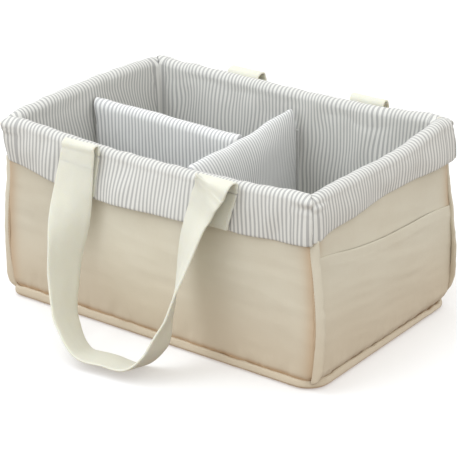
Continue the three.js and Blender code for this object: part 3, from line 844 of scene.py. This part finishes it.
def rounded_loop(half_x, half_y, corners, step):
    """Points round a rectangle, their outward directions and the length to each. Its corners are
    rounded in the order back right, back left, front left and front right."""
    points, ways = [], []
    signs = ((1, 1), (-1, 1), (-1, -1), (1, -1))
    for i, ((sign_x, sign_y), corner) in enumerate(zip(signs, corners)):
        centre = np.array([sign_x * (half_x - corner), sign_y * (half_y - corner)])
        arc_steps = max(4, math.ceil(corner * math.pi / 2 / step))
        for angle in np.radians(np.linspace(90 * i, 90 * i + 90, arc_steps + 1)):
            ways.append(np.array([math.cos(angle), math.sin(angle)]))
            points.append(centre + corner * ways[-1])
        next_x, next_y = signs[(i + 1) % 4]
        following = corners[(i + 1) % 4]
        end = np.array([next_x * (half_x - following), next_y * (half_y - following)])
        first = points[-1]
        run = end + following * ways[-1] - first
        steps = math.ceil(np.linalg.norm(run) / step)
        for share in np.arange(1, steps) / steps:
            points.append(first + run * share)
            ways.append(ways[-1])
    points, ways = np.array(points), np.array(ways)
    return points, ways, run_lengths(np.vstack([points, points[:1]]))


def slab(name, node, slot, corner, edge):
    """A slab with rounded edges that fills the box of a node."""
    low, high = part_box(node)
    points, ways, _ = rounded_loop(high.x, high.y, [corner] * 4, SLAB_STEP)
    bevel = edge * EDGE_SHARE
    levels = [
        (edge, low.z), (bevel, low.z + bevel), (0, low.z + (high.z - low.z) / 2),
        (bevel, high.z - bevel), (edge, high.z),
    ]
    grid = np.stack([
        np.column_stack([points - ways * inset, np.full(len(points), level)])
        for inset, level in levels
    ])
    uv = np.concatenate([grid[..., :2], grid[:, :1, :2]], axis=1)
    return piece(grid_mesh(name, grid, uv, ring=True, capped=True), slot, "caddy", node)


def base_layers():
    layers = {name: slab(name, *row) for name, row in SLABS.items()}
    x, y = np.meshgrid(np.linspace(floor_low.x, floor_high.x, FLOOR_COLUMNS),
                       np.linspace(floor_low.y, floor_high.y, FLOOR_ROWS))
    level = floor_top - FLOOR_DEPTH + np.clip(folds("floor", 0, x, y), *FLOOR_LIFTS)
    cloth = solid(grid_mesh("floor_cloth", joined(x, y, level), joined(x, y)), CLOTH)
    piece(cloth, "striped_cotton", "caddy", "floor_lining")


# Stitches: short capsules of thread that lie on a row of points
STITCH_LENGTH = 2.4 * MM
STITCH_PITCH = 3.2 * MM
STITCH_RADIUS = 0.22 * MM
STITCH_SIDES = 6
# Rings of a stitch: share of its length, and width and lift as shares of its radius
STITCH_RINGS = [(0, 0.3, -1.2), (0.12, 0.85, -0.2), (0.5, 1, 0.3), (0.88, 0.85, -0.2),
                (1, 0.3, -1.2)]
THREADS = {"canvas": MATERIALS["seam_thread"], "cotton_webbing": MATERIALS["pale_thread"]}


def stitch_row(name, path, outward, slot):
    """Stitches along a path of points, each bowed towards outward, in the thread of a slot."""
    lengths, outward = run_lengths(path), np.broadcast_to(outward, path.shape)
    starts = np.arange(STITCH_PITCH / 2, lengths[-1] - STITCH_LENGTH, STITCH_PITCH)

    def sample(values, places):
        return joined(*(np.interp(places, lengths, column) for column in values.T))

    begin, end = sample(path, starts), sample(path, starts + STITCH_LENGTH)
    along = unit(end - begin)
    across = unit(np.cross(along, unit(sample(outward, starts))))
    up = np.cross(across, along)
    angles = np.arange(STITCH_SIDES) * 2 * np.pi / STITCH_SIDES
    points = []
    for share, width, lift in STITCH_RINGS:
        centre = mix(begin, end, share) + up * lift * STITCH_RADIUS
        ring = [centre + (across * math.cos(a) + up * math.sin(a)) * width * STITCH_RADIUS
                for a in angles]
        points.append(np.stack(ring, axis=1))
    points = np.stack(points, axis=1)
    faces = []
    for stitch in range(len(starts)):
        first = stitch * len(STITCH_RINGS) * STITCH_SIDES
        last = first + (len(STITCH_RINGS) - 1) * STITCH_SIDES
        for ring in range(first, last, STITCH_SIDES):
            for k in range(STITCH_SIDES):
                a, b = ring + k, ring + (k + 1) % STITCH_SIDES
                faces.append((a, b, b + STITCH_SIDES, a + STITCH_SIDES))
        faces.append(tuple(range(first, first + STITCH_SIDES))[::-1])
        faces.append(tuple(range(last, last + STITCH_SIDES)))
    pairs = [np.zeros((len(face), 2)) for face in faces]
    obj = new_mesh(name, points.reshape(-1, 3), faces, pairs, flip=True)
    piece(obj, slot, "caddy", material=THREADS[slot])


# Flange: the seam allowance of the bottom, turned down and stitched
FLANGE_THICKNESS = 4.5 * MM
FLANGE_CORNERS = [24 * MM, 24 * MM, 13 * MM, 24 * MM]
FLANGE_STEP = 2.4 * MM
FLANGE_BLEND = 26 * MM
FLANGE_ROW_STEP = 1.6 * MM
FLANGE_STITCH_SHARE = 0.96
# Rows round its section, from the underside to the groove: inset and level in millimetres, share of
# its height and share of painted shade: a painted contact shadow on the underside and painted shade
# in the groove at the seam
FLANGE_ROWS = [
    (5, 0, 0, 1), (4, 0.3, 0, 1), (2.4, 1.1, 0, 1), (1, 2.2, 0, 0.9), (0.2, 3.5, 0, 0.35),
    (0, 0, 0.44, 0), (0.1, 0, 0.56, 0), (0.5, 0, 0.74, 0), (0.7, 0, 0.86, 0), (1.3, 0, 0.95, 0),
    (2.2, 0, 1, 0), (3.3, 0, 0.98, 0.3), (4.4, 0, 0.9, 0.8), (5.6, 0, 0.8, 1), (8, 0, 0.68, 1),
    (8.2, 0, 0.3, 1),
]


def flange_height(points):
    """Height of the flange at points round it, blended from side to side at the corners."""
    x, y = points[:, 0], points[:, 1]
    places = {"front": (x, -y), "right": (y, x), "back": (-x, y), "left": (-y, -x)}
    total, weights = 0, 0
    for name, (along, out) in places.items():
        weight = smooth((out - out.max() + FLANGE_BLEND) / FLANGE_BLEND)
        total = total + weight * millimetres(SIDES[name]["flange"], along)
        weights = weights + weight
    return total / weights


def base_flange():
    points, ways, lengths = rounded_loop(flange_high.x, flange_high.y, FLANGE_CORNERS, FLANGE_STEP)
    height = flange_height(points) + folds("flange_height", 0, lengths[:-1])
    sway = folds("flange_lean", 0, lengths[:-1])
    rows = []
    for inset, base_level, share, _ in FLANGE_ROWS:
        flat = points - ways * (inset * MM - sway * share)[:, None]
        rows.append(np.column_stack([flat, base_level * MM + height * share]))
    grid = np.stack(rows).transpose(1, 0, 2)
    down = np.arange(len(FLANGE_ROWS) + 1) * FLANGE_ROW_STEP
    obj = grid_mesh("base_welt", grid, joined(lengths[:, None], down), ring=True, looped=True)
    # Painted contact shadow on the flange's underside and painted shade in its groove
    mark_seam_shade(obj, np.tile([tint for *_, tint in FLANGE_ROWS], (len(points), 1)))
    piece(obj, "canvas", "caddy", "base_flange")
    path = np.column_stack([points - ways * FLANGE_THICKNESS, height * FLANGE_STITCH_SHARE])
    outward = np.column_stack([ways, np.ones(len(ways))])
    stitch_row("base_welt_stitches", path, outward, "canvas")


# Welts: puffy fins in the plane of the long sides, tucked under the cuff and into the flange
# Levels against the reach from groove to edge, in millimetres
WELT_REACHES = {
    "front": [
        (8, 5), (13, 8.5), (20, 10.6), (27, 10.8), (42, 10.2), (58, 9.8), (81, 9.4),
        (103, 9.2), (126, 9.2), (140, 10), (150, 10),
    ],
    "back": [
        (8, 2), (13, 3.4), (20, 6), (27, 8), (44, 9.6), (60, 9.2), (81, 7.4), (112, 5.6),
        (150, 5.6),
    ],
}
# Places across the fin as shares from its groove to its edge, and depth in millimetres
WELT_PROFILE = [
    (-0.02, 0.9), (0.03, 0.25), (0.12, -0.35), (0.3, -0.65), (0.5, -0.6), (0.72, -0.3),
    (0.88, 0.1), (0.97, 0.7), (1, 1.4), (0.97, 2.1), (0.88, 2.7), (0.66, 3.0), (0.45, 3.0),
    (0.3, 2.2), (0.12, 1.5),
]
WELT_TURN = math.radians(29)
WELT_FOOT_TURN = math.radians(43)
WELT_FOOT_LEAN = math.radians(38)
WELT_TOP = 150 * MM
WELT_ROWS = 72
WELT_TUCK = 2.5 * MM
WELT_COLUMN_STEP = 1.4 * MM
# Where the stitches lie from the groove, along and across the fin, and the way that they face
WELT_STITCH = (0.2 * MM, -0.35 * MM)
WELT_STITCH_WAY = (-0.4, 1)


def corner_welt(name, sign_x, sign_y):
    levels = np.linspace(flange_high.z - WELT_TUCK, WELT_TOP, WELT_ROWS)
    number = 2 * sign_x + sign_y
    reach = millimetres(WELT_REACHES["front" if sign_y < 0 else "back"], levels)
    reach = reach + folds("welt_reach", number, levels)
    sway = folds("welt_sway", number, levels)
    half_x, half_y, corner = shell_layer(SIDES["front"], levels)
    foot = curve(FOOT_CORNER_SHARES, levels / RIM_TOP)
    turn = mix(WELT_TURN, WELT_FOOT_TURN, foot)
    lean = WELT_FOOT_LEAN * foot
    groove_x = half_x - corner + corner * np.sin(turn)
    groove_y = half_y - corner + corner * np.cos(turn)
    rows = []
    for share, depth in WELT_PROFILE:
        along, deep = reach * share, depth * MM - sway * share
        x = groove_x + along * np.cos(lean) + deep * np.sin(lean)
        y = groove_y + along * np.sin(lean) - deep * np.cos(lean)
        rows.append(joined(x, y, levels))
    signs = np.array([sign_x, sign_y, 1])
    grid = np.stack(rows).transpose(1, 0, 2) * signs
    around = np.arange(len(WELT_PROFILE) + 1) * WELT_COLUMN_STEP
    uv = joined(around, levels[:, None])
    obj = grid_mesh(f"{name}_fin", grid, uv, ring=True, capped=True, flip=sign_x * sign_y > 0)
    piece(obj, "canvas", "caddy", name)
    aside, below = WELT_STITCH
    path = joined(groove_x + aside, groove_y + below, levels) * signs
    stitch_row(f"{name}_stitches", path, np.array([*WELT_STITCH_WAY, 0]) * signs, "canvas")


# Pockets: cloth over the lower part of the end panels, with a folded hem along its mouth
POCKET_CLOTH = 0.9 * MM
POCKET_CORNER_STEPS = 6
POCKET_CORNER_SHARE = 0.9
POCKET_ROWS = 56
POCKET_STAND = 1.4 * MM
POCKET_SLACK = 1.2 * MM
POCKET_GATHER = 0.9
POCKET_FOOT = 1 * MM
POCKET_HEM = 12 * MM
POCKET_HEM_STEP = 0.35 * MM
POCKET_HEM_EDGE = 0.8 * MM
MOUTH_ROUND = 0.7 * MM
MOUTH = [(-118, 130), (-102, 128.5), (-58, 121.8), (-7, 116.2), (28, 114.5), (64, 112),
         (118, 106.5)]


def end_pocket(name):
    side = SIDES[name]
    base, share = side_columns(side, SHELL_STEP, POCKET_CORNER_STEPS)
    sign = 1 if name == "right" else -1
    mouth = millimetres(MOUTH, sign * crest_place(side, base, share))
    middle = middle_share(base, share)
    rows = [(s, 0.0) for s in np.linspace(0, 1, POCKET_ROWS)]
    rows += [(1.0, angle) for angle in np.radians([45, 90, 135, 180])]
    grid, across = [], []
    for s, angle in rows:
        level = mix(SHELL_BOTTOM + POCKET_FOOT, mouth, s) + MOUTH_ROUND * math.sin(angle)
        layer, u, push = shell_surface(side, base, share, level)
        hem_step = POCKET_HEM_STEP * smooth((level - mouth + POCKET_HEM) / POCKET_HEM_EDGE)
        above = (FOOT_SEAM - level) / FOOT_GROOVE_HEIGHT + 2.5
        stand = POCKET_STAND * (1 - POCKET_GATHER * smooth(above))
        stand = stand + POCKET_SLACK * middle * s + hem_step
        stand = stand + folds("pocket_swell", side["turns"], u, level) * s
        stand = stand - MOUTH_ROUND * (1 - math.cos(angle))
        along, out, u = plan(base, share * POCKET_CORNER_SHARE, *layer, push + stand)
        grid.append(on_side(side, along, out, level))
        across.append(u)
    points = np.stack(grid)
    lengths = run_lengths(points[:, len(base) // 2])
    uv = joined(np.stack(across), lengths[:, None])
    obj = solid(grid_mesh(f"{name}_pocket_cloth", points, uv), POCKET_CLOTH)
    piece(obj, "canvas", "caddy", f"{name}_pocket")


# Straps: webbing sewn flat on the cuff, folded over above the rim and hanging as a loop
WEBBING_WIDTH = 40 * MM
WEBBING_THICKNESS = 2.2 * MM
WEBBING_CUP = 0.35 * MM
WEBBING_CALM = 30 * MM
STRAP_SPACING = 158 * MM
# Each strap: its place along the side, how far its two ends lean along the side at the rim, how
# far the loop stands out there as a share of its reach, and how high the fold rises
STRAPS = {
    "front": (-4 * MM, (2 * MM, 8 * MM), 0.08, 0.75),
    "back": (-9 * MM, (7 * MM, 3 * MM), 0.2, 1.45),
}
HANDLE_REACH = 51 * MM
HANDLE_FLOOR_GAP = 0.6 * MM
TAB_END = 180 * MM
LOOP_START = 168 * MM
LOOP_ROWS, FOLD_ROWS, TAB_ROWS = 260, 60, 30
HELD_END = 0.04
TAB_UNDER_CREST = 1 * MM
TAB_FOOT_POINTS = 20
STITCH_GAP = 0.1 * MM
ALONG, OUTWARD = np.array([1.0, 0.0, 0.0]), np.array([0.0, -1.0, 0.0])
TAB_STITCH_INSET = 3 * MM
TAB_STITCH_RISE = 3.5 * MM
# Shares of half the spacing, of the reach and of the height, the turn of the webbing and how far
# its width tips up
HANDLE_ROW_SHARES = [
    (-1, 0, 1, 0, 0), (-1, 0, 0.97, 0, 0), (-0.998, 0.01, 0.93, 1, 0), (-0.99, 0.1, 0.86, 7, 0),
    (-0.975, 0.25, 0.74, 20, 0), (-0.965, 0.38, 0.63, 42, 0), (-0.95, 0.52, 0.52, 66, 0),
    (-0.871, 0.797, 0.327, 87, 0), (-0.662, 1.132, 0.149, 107, -0.03),
    (-0.314, 1.3, 0.036, 118, -0.16), (0.06, 1.238, 0.025, 113, -0.21),
    (0.43, 1.185, 0.033, 96, -0.26), (0.663, 1.061, 0.125, 89, 0), (0.759, 0.811, 0.289, 112.6, 0),
    (0.79, 0.591, 0.46, 126.8, 0), (0.86, 0.348, 0.688, 148, 0), (0.927, 0.21, 0.81, 155, 0),
    (0.932, 0.14, 0.89, 160, 0), (0.968, 0.1, 0.947, 163, 0), (0.975, 0.09, 1, 164, 0),
]
loop_out = inner_half_y + wall_depth + WEBBING_THICKNESS * 1.5 + 3 * FIT_GAP
# Middle line of the fold above the rim: shares of the way out from the tab, and level in
# millimetres. It then follows the line of the loop, at these distances before its end
FOLD_LINE = [
    (0, 179.5), (0, 182), (-0.03, 184.5), (-0.03, 187), (0.1, 189.3), (0.37, 190.3), (0.67, 189.8),
    (0.88, 187.6),
]
FOLD_APPROACH = [12 * MM, 6 * MM, 2 * MM, 0]
FOLD_PEAK = 0.4


def webbing_section():
    """Points round the webbing: shares of half its width, and of half its thickness."""
    faces = np.linspace(-0.96, 0.96, 11)
    rows = [(a, 1.0) for a in faces] + [(0.995, 0.6), (0.995, -0.6)]
    rows += [(a, -1.0) for a in faces[::-1]] + [(-0.995, -0.6), (-0.995, 0.6)]
    return np.array(rows).T


def with_held_ends(rows):
    """The rows with one more just inside each end, so that the end face shades none of the run."""
    first, last = mix(rows[:1], rows[1:2], HELD_END), mix(rows[-1:], rows[-2:-1], HELD_END)
    return np.concatenate([rows[:1], first, rows[1:-1], last, rows[-1:]])


def ribbon(name, side, centres, across, number, body, *nodes, square=True):
    """A length of webbing along its middle line, with across as the way of its width, at right
    angles to the line where it is square."""
    across = turned(np.broadcast_to(across, centres.shape), side)
    centres = turned(centres, side)
    tangents = unit(np.gradient(centres, axis=0))
    if square:
        across = across - tangents * np.sum(across * tangents, axis=-1, keepdims=True)
    across = unit(across)
    normals = unit(np.cross(tangents, across))
    lengths = run_lengths(centres)
    wide_shares, thick_shares = webbing_section()
    wide = wide_shares * WEBBING_WIDTH / 2
    thick = thick_shares * WEBBING_THICKNESS / 2
    cup = WEBBING_CUP * (wide_shares ** 2 - 0.3)
    from_end = np.minimum(lengths, lengths[-1] - lengths)[:, None]
    sway = folds("webbing", number, lengths[:, None], wide)
    bend = (cup + sway) * smooth(from_end / WEBBING_CALM)
    points = (centres[:, None] + across[:, None] * wide[:, None]
              + normals[:, None] * (thick + bend)[..., None])
    u = np.concatenate([wide, wide[:1]])
    points, uv = with_held_ends(points), with_held_ends(joined(u, lengths[:, None]))
    obj = grid_mesh(name, points, uv, ring=True, capped=True, flip=True)
    return piece(obj, "cotton_webbing", body, *nodes)


def strap_loop(side_name, offset, leans, stand_share, body):
    """The free loop. Returns each end of it: its middle, the way up along it and its width."""
    lowest = HANDLE_FLOOR_GAP + WEBBING_THICKNESS / 2
    rows = np.array(HANDLE_ROW_SHARES)
    near_top = smooth((rows[:, 2] - 0.8) / 0.13)
    lean = np.where(rows[:, 0] < 0, leans[0], leans[1]) * near_top
    centres = np.column_stack([
        offset + rows[:, 0] * STRAP_SPACING / 2 + lean,
        -loop_out - (rows[:, 1] + stand_share * near_top) * HANDLE_REACH,
        mix(lowest, RIM_TOP, rows[:, 2]),
    ])
    lengths = run_lengths(centres)
    hidden = RIM_TOP - LOOP_START
    at = np.linspace(hidden, lengths[-1] - hidden, LOOP_ROWS)
    line = curve_through(lengths, centres, at)
    turn, tip = curve_through(lengths, rows[:, 3:], at).T
    across = np.column_stack([np.cos(np.radians(turn)), np.sin(np.radians(turn)), tip])
    name = f"{side_name}_strap_loop"
    ribbon(name, SIDES[side_name], line, across, 0, body, f"{side_name}_handle")
    left = (line[0], unit(line[0] - line[1]), across[0])
    right = (line[-1], unit(line[-1] - line[-2]), -across[-1])
    return left, right


def strap_fold(name, side, start, end, rise_share):
    """The bend above the rim, from the middle of the tab's end to an end of the loop."""
    middle, upwards, end_across = end
    share, level = np.array(FOLD_LINE).T
    over = start + (middle + upwards * (TAB_END - LOOP_START) - start) * [0, 1, 0] * share[:, None]
    over[:, 2] = TAB_END + np.maximum(level * MM - TAB_END, 0) * rise_share
    place = np.vstack([over, middle + upwards * np.array(FOLD_APPROACH)[:, None]])
    lengths = run_lengths(place)
    at = np.linspace(0, lengths[-1], FOLD_ROWS)
    line = curve_through(lengths, place, at)
    twist = smooth((at / lengths[-1] - FOLD_PEAK) / (1 - FOLD_PEAK))[:, None]
    across = mix(ALONG, end_across, twist)
    obj = ribbon(name, side, line, across, 2, None)
    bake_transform(obj)


def strap_tab(name, side, centre, lean_along, node):
    """The sewn end, laid on the cuff. Returns the end of its middle line."""
    middle = (1 - (centre / (halves(side)[0] - INNER_CORNER)) ** 2) ** 2
    drop, lean = crest(side, centre)
    top, hem = crest_level - drop, millimetres(side["hem"], centre)
    shares = np.linspace(0.98, 0, TAB_ROWS)
    stand = cuff_stand(side, np.full(len(shares), centre), middle, shares)
    over = FIT_GAP + WEBBING_THICKNESS / 2 + CUFF_WAVE * smooth(shares) * 0.7
    out = inner_half_y + wall_depth + stand + lean * (1 - shares) + over
    up = np.linspace(float(top) - TAB_UNDER_CREST, TAB_END, 3)
    out = np.concatenate([out, np.full(len(up), out[-1])])
    level = np.concatenate([mix(top, hem, shares), up])
    middles = centre + lean_along * np.clip((level - hem) / (top - hem), 0, 1)
    line = np.column_stack([middles, -out, level])
    ribbon(name, side, line, ALONG, 4, "caddy", node, square=False)
    inset = WEBBING_WIDTH / 2 - TAB_STITCH_INSET
    stitched = hem + TAB_STITCH_RISE
    faces = -(out + WEBBING_THICKNESS / 2 + STITCH_GAP)
    above = level > stitched
    paths = [np.column_stack([middles + k * inset, faces, level])[above] for k in (-1, 1)]
    foot = np.linspace(centre - inset, centre + inset, TAB_FOOT_POINTS)
    paths.append(joined(foot, faces[1], stitched))
    for i, path in enumerate(paths):
        stitch_row(f"{name}_stitches_{i + 1}", turned(path, side), turned(OUTWARD, side),
                   "cotton_webbing")
    return line[-1]


def straps():
    for side_name, (offset, leans, stand_share, rise_share) in STRAPS.items():
        side = SIDES[side_name]
        body = f"{side_name}_strap"
        loop_ends = strap_loop(side_name, offset, leans, stand_share, body)
        for sign, lean, loop_end in zip((-1, 1), leans, loop_ends):
            end = "left" if (sign < 0) == (side_name == "front") else "right"
            name = f"{side_name}_{end}_strap"
            centre = offset + sign * STRAP_SPACING / 2
            tab_end = strap_tab(f"{name}_tab", side, centre, lean, f"{name}_end")
            strap_fold(f"{name}_fold", side, tab_end, loop_end, rise_share)


# Dividers: padded covers along a line, with a soft crown and drawn-in ends
divider_half = (long_high.y - long_low.y) / 2
long_y = (long_high.y + long_low.y) / 2
divider_bottom, divider_top = cross_low.z, cross_high.z
DIVIDER_STEP = 2.6 * MM
END_ROUND = 6 * MM
END_STEPS = np.array([0.6, 1.6, 3.6]) * MM
END_DRAW = 2.5 * MM
END_FOLD_REACH = 10 * MM
COVER = 2.3 * MM
PILLOW_FOOT = 3 * MM
PILLOW_SIDE_START = 8 * MM
PILLOW_SIDE_ROWS, PILLOW_CROWN_ROWS = 26, 9
# Crumples at the ends of a cover: their length over 2 pi, and how far they shift or lift it
CRUMPLE_SHIFT = (1.5 * MM, 0.7 * MM)
CRUMPLE_LIFT = (1.9 * MM, 0.8 * MM)
# Places across the caddy in millimetres, against the share of the way from the front end of the
# cross divider to its back end
CROSS_LINE = [(-101, 0), (-78, 0.03), (-38, 0.2), (-6, 0.44), (14, 0.5), (49, 0.76), (85, 0.93),
              (101, 1)]
# How far the top of the long divider leans on to the wall at its left end, and over what length
LONG_END_REACH = 6 * MM
LONG_END_RUN = 14 * MM
# Each divider: lift of its cover's top at its ends, share of the way across it where its crown
# is, drops of its two sides from there in each layer, swell of its cover, and tables of place
# along it in millimetres against share of its thickness, lift of its top and lean of its stripes
DIVIDERS = {
    "cross": {
        "end_lift": 0.0,
        "crown_share": 0.3,
        "drops": {"cover": (5 * MM, 30 * MM), "board": (4 * MM, 30 * MM)},
        "bulge": 1.5 * MM,
        "widths": [(-101, 0.9), (-70, 1), (20, 1), (60, 0.92), (85, 0.75), (101, 0.6)],
        "lifts": [(-101, 5), (-60, 5), (-30, 2), (0, 0), (101, 0)],
        "leans": [(-101, 0.3), (-40, 0.3), (0, 0.2), (30, 0), (60, -0.2), (101, -0.25)],
    },
    "long": {
        "end_lift": 1 * MM,
        "crown_share": 0.5,
        "drops": {"cover": (8 * MM, 8 * MM), "board": (7 * MM, 7 * MM)},
        "bulge": 1 * MM,
        "widths": [(-165, 1), (13, 1)],
        "lifts": [(-165, 4), (-100, 3), (-40, 1), (13, 0)],
        "leans": [(-165, 0), (13, 0)],
    },
}
# Each layer of a divider: name of its piece, slot and material, how far it lies in, how unevenly
# it is filled, its seed and its fill
DIVIDER_LAYERS = {
    # The cover takes the lighter copy of the striped cotton, which is painted light
    "cover": ("pillow", "striped_cotton", "striped_cotton_painted_light", 0.0, 0.04, 0, 0.6),
    "board": ("foam", "wadding", "wadding", COVER, 0.01, 2, 0.8),
}


def pillow_section(inset, crown_share, drops, bulge):
    """Points round a divider: place across and level. The top of the crown is crown_share
    across, and the right side swells by bulge at its middle."""
    half, bottom, top = divider_half - inset, divider_bottom + inset, divider_top - inset
    left_drop, right_drop = drops
    peak = mix(-half, half, crown_share)
    foot = [(half * s, z) for s, z in ((0.7, bottom), (0.93, bottom + PILLOW_FOOT))]
    rows = [(-y, z) for y, z in foot]
    side_start = bottom + PILLOW_SIDE_START
    rows += [(-half, z) for z in np.linspace(side_start, top - left_drop, PILLOW_SIDE_ROWS)]
    quarter = np.radians(np.linspace(0, 90, PILLOW_CROWN_ROWS)[1:])
    rows += [(peak - (peak + half) * math.cos(a), top - left_drop * (1 - math.sin(a)))
             for a in quarter]
    rows += [(peak + (half - peak) * math.sin(a), top - right_drop * (1 - math.cos(a)))
             for a in quarter]
    rows += [(half, z) for z in np.linspace(top - right_drop, side_start, PILLOW_SIDE_ROWS)[1:]]
    rows = np.array(rows + foot[::-1])
    height = (rows[:, 1] - bottom) / (top - bottom)
    rows[:, 0] += np.where(rows[:, 0] > 0, bulge * np.sin(np.pi * height), 0)
    return rows


def cross_place(y, across, level):
    front, back = cross_high.x - divider_half, cross_low.x + divider_half
    return joined(mix(front, back, curve(CROSS_LINE, y / MM)) + across, y, level)


def long_place(x, across, level):
    height = np.clip((level - divider_bottom) / (divider_top - divider_bottom), 0, 1)
    x = x - LONG_END_REACH * bell(x - long_low.x, LONG_END_RUN) * height ** 5
    return joined(x, long_y + across, level)


def end_folds(along, start, end, height, end_lift):
    """Crumples where the top of a pad is drawn in and pushed up at its ends."""
    weight = bell(along - start, END_FOLD_REACH) + bell(end - along, END_FOLD_REACH)
    weight = weight * height ** 6
    shift = np.sin(along / CRUMPLE_SHIFT[0]) * CRUMPLE_SHIFT[1]
    lift = np.sin(along / CRUMPLE_LIFT[0] + 1) * CRUMPLE_LIFT[1] + end_lift
    return shift * weight, lift * weight


def divider_pad(name, divider, section, ends, place, layer, puff, number):
    """A pad whose section runs between two ends. place turns the distance along, the place
    across and the level into points."""
    start, end = ends
    steps = math.ceil((end - start) / DIVIDER_STEP)
    along = np.linspace(start, end, steps + 1)
    along = np.unique(np.concatenate([along, start + END_STEPS, end - END_STEPS]))
    from_end = np.minimum(along - start, end - along)
    width = 0.35 + 0.65 * np.sqrt(1 - (1 - np.clip(from_end / END_ROUND, 0, 1)) ** 2)
    wide, level = section.T
    top = level.max()
    height = (level - level.min()) / (top - level.min())
    swell = 1 + puff * folds("pad_puff", number, along[:, None], level)
    across = wide * width[:, None] * swell * curve(divider["widths"], along / MM)[:, None]
    raised = folds("pad_top", number, along) - END_DRAW * (1 - width)
    raised = raised + millimetres(divider["lifts"], along)
    levels = level + raised[:, None] * height ** 4
    stripe = along[:, None]
    if layer == "cover":
        shift, lift = end_folds(along[:, None], start, end, height, divider["end_lift"])
        across, levels = across + shift, levels + lift
        fall = top - np.concatenate([level, level[:1]])
        stripe = stripe - curve(divider["leans"], along / MM)[:, None] * fall
    points = place(along[:, None], across, levels)
    around = run_lengths(section)
    around = np.concatenate([around, [around[-1] + 2 * abs(wide[0])]])
    return grid_mesh(name, points, joined(stripe, around), ring=True, capped=True, flip=True)


def dividers():
    runs = {
        "cross": (-cross_high.y, cross_high.y, cross_place),
        "long": (long_low.x, long_high.x, long_place),
    }
    for layer, (ending, slot, look, inset, puff, seed, fill) in DIVIDER_LAYERS.items():
        for i, (kind, divider) in enumerate(DIVIDERS.items()):
            start, end, place = runs[kind]
            name = f"{kind}_divider"
            bulge = divider["bulge"] if layer == "cover" else 0.0
            section = pillow_section(inset, divider["crown_share"], divider["drops"][layer], bulge)
            ends = (start + inset, end - inset)
            pad = divider_pad(f"{name}_{ending}", divider, section, ends, place, layer, puff,
                              seed + i)
            piece(pad, slot, name, f"{name}_{layer}", material=MATERIALS[look])


def tapes():
    for node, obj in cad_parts.items():
        if node.endswith(("_hook", "_tape")):
            obj.data.materials.clear()
            obj.data.materials.append(MATERIALS["hook_and_loop"])


# Camera, fitted to the photograph
IMAGE_SIDE = 457
FOCAL_PIXELS = 1750
SENSOR = 36.0
AZIMUTH = math.radians(37.183)
ELEVATION = math.radians(22.767)
ROLL = math.radians(-0.735)
CAMERA_PLACE = Vector((975.48, -1284.76, 753.85)) * MM
CLIP_START, CLIP_END = 0.05, 50


def make_camera():
    data = bpy.data.cameras.new("camera")
    data.sensor_width = SENSOR
    data.lens = SENSOR * FOCAL_PIXELS / IMAGE_SIDE
    data.clip_start = CLIP_START
    data.clip_end = CLIP_END
    obj = add_object("camera", data)
    back = Vector((
        math.sin(AZIMUTH) * math.cos(ELEVATION),
        -math.cos(AZIMUTH) * math.cos(ELEVATION),
        math.sin(ELEVATION),
    ))
    right = Vector((math.cos(AZIMUTH), math.sin(AZIMUTH), 0))
    up = back.cross(right)
    right_rolled = right * math.cos(ROLL) + up * math.sin(ROLL)
    up_rolled = up * math.cos(ROLL) - right * math.sin(ROLL)
    axes = Matrix((right_rolled, up_rolled, back)).transposed().to_4x4()
    obj.matrix_world = Matrix.Translation(CAMERA_PLACE) @ axes
    bpy.context.scene.camera = obj


# Studio: a bright tent that darkens and warms towards the table, two soft lamps and a white floor
SKY = 1.15
ABOVE = (1.0, 0.992, 0.98)
BELOW = (0.26, 0.19, 0.13)
DUSK = (-0.7, 0.15)
FLOOR_GLOW = 0.3
FLOOR_ALBEDO = 0.7
FLOOR_REACH = 4.0
LIGHT_COLOUR = (0.93, 1.0, 1.08)
AIM = Vector((0, 0, 0.08))
# Place, width in metres and watts of each lamp
LIGHTS = {
    "key": ((-0.9, -2.0, 1.8), 1.6, 11),
    "fill": ((-0.7, -0.7, 2.6), 1.4, 13),
}


def make_studio():
    world = bpy.data.worlds.new("studio")
    bpy.context.scene.world = world
    world.use_nodes = True
    nodes = Nodes(world.node_tree)
    way = nodes.add("ShaderNodeTexCoord", {}).outputs["Generated"]
    height = nodes.add("ShaderNodeSeparateXYZ", {0: way}).outputs[2]
    background = world.node_tree.nodes["Background"]
    sky = nodes.mixed(nodes.ramp(height, *DUSK), BELOW, ABOVE)
    world.node_tree.links.new(sky, background.inputs[0])
    background.inputs[1].default_value = SKY
    corners = np.array([[(-1, -1, 0), (1, -1, 0)], [(-1, 1, 0), (1, 1, 0)]]) * FLOOR_REACH
    floor = grid_mesh("floor", corners, corners[..., :2])
    material, _, shader = new_material("floor", 0.9, 0.0)
    shader.inputs["Base Color"].default_value = (FLOOR_ALBEDO, FLOOR_ALBEDO, FLOOR_ALBEDO, 1)
    shader.inputs["Emission Color"].default_value = (1, 1, 1, 1)
    shader.inputs["Emission Strength"].default_value = FLOOR_GLOW
    floor.data.materials.append(material)
    floor.visible_diffuse = False
    for name, (place, size, power) in LIGHTS.items():
        data = bpy.data.lights.new(name, "AREA")
        data.shape = "DISK"
        data.size = size
        data.energy = power
        data.color = LIGHT_COLOUR
        light = add_object(name, data)
        light.location = place
        light.rotation_euler = (AIM - Vector(place)).to_track_quat("-Z", "Y").to_euler()
    bpy.context.scene.view_settings.view_transform = "Standard"


for side_name in SIDES:
    wall_pad(side_name)
    canvas_panel(side_name)
    lining_panel(side_name)
base_layers()
base_flange()
for end_name, end_sign in (("left", -1), ("right", 1)):
    for face_name, face_sign in (("front", -1), ("back", 1)):
        corner_welt(f"{face_name}_{end_name}_welt", end_sign, face_sign)
    end_pocket(end_name)
straps()
dividers()
tapes()
make_camera()
make_studio()
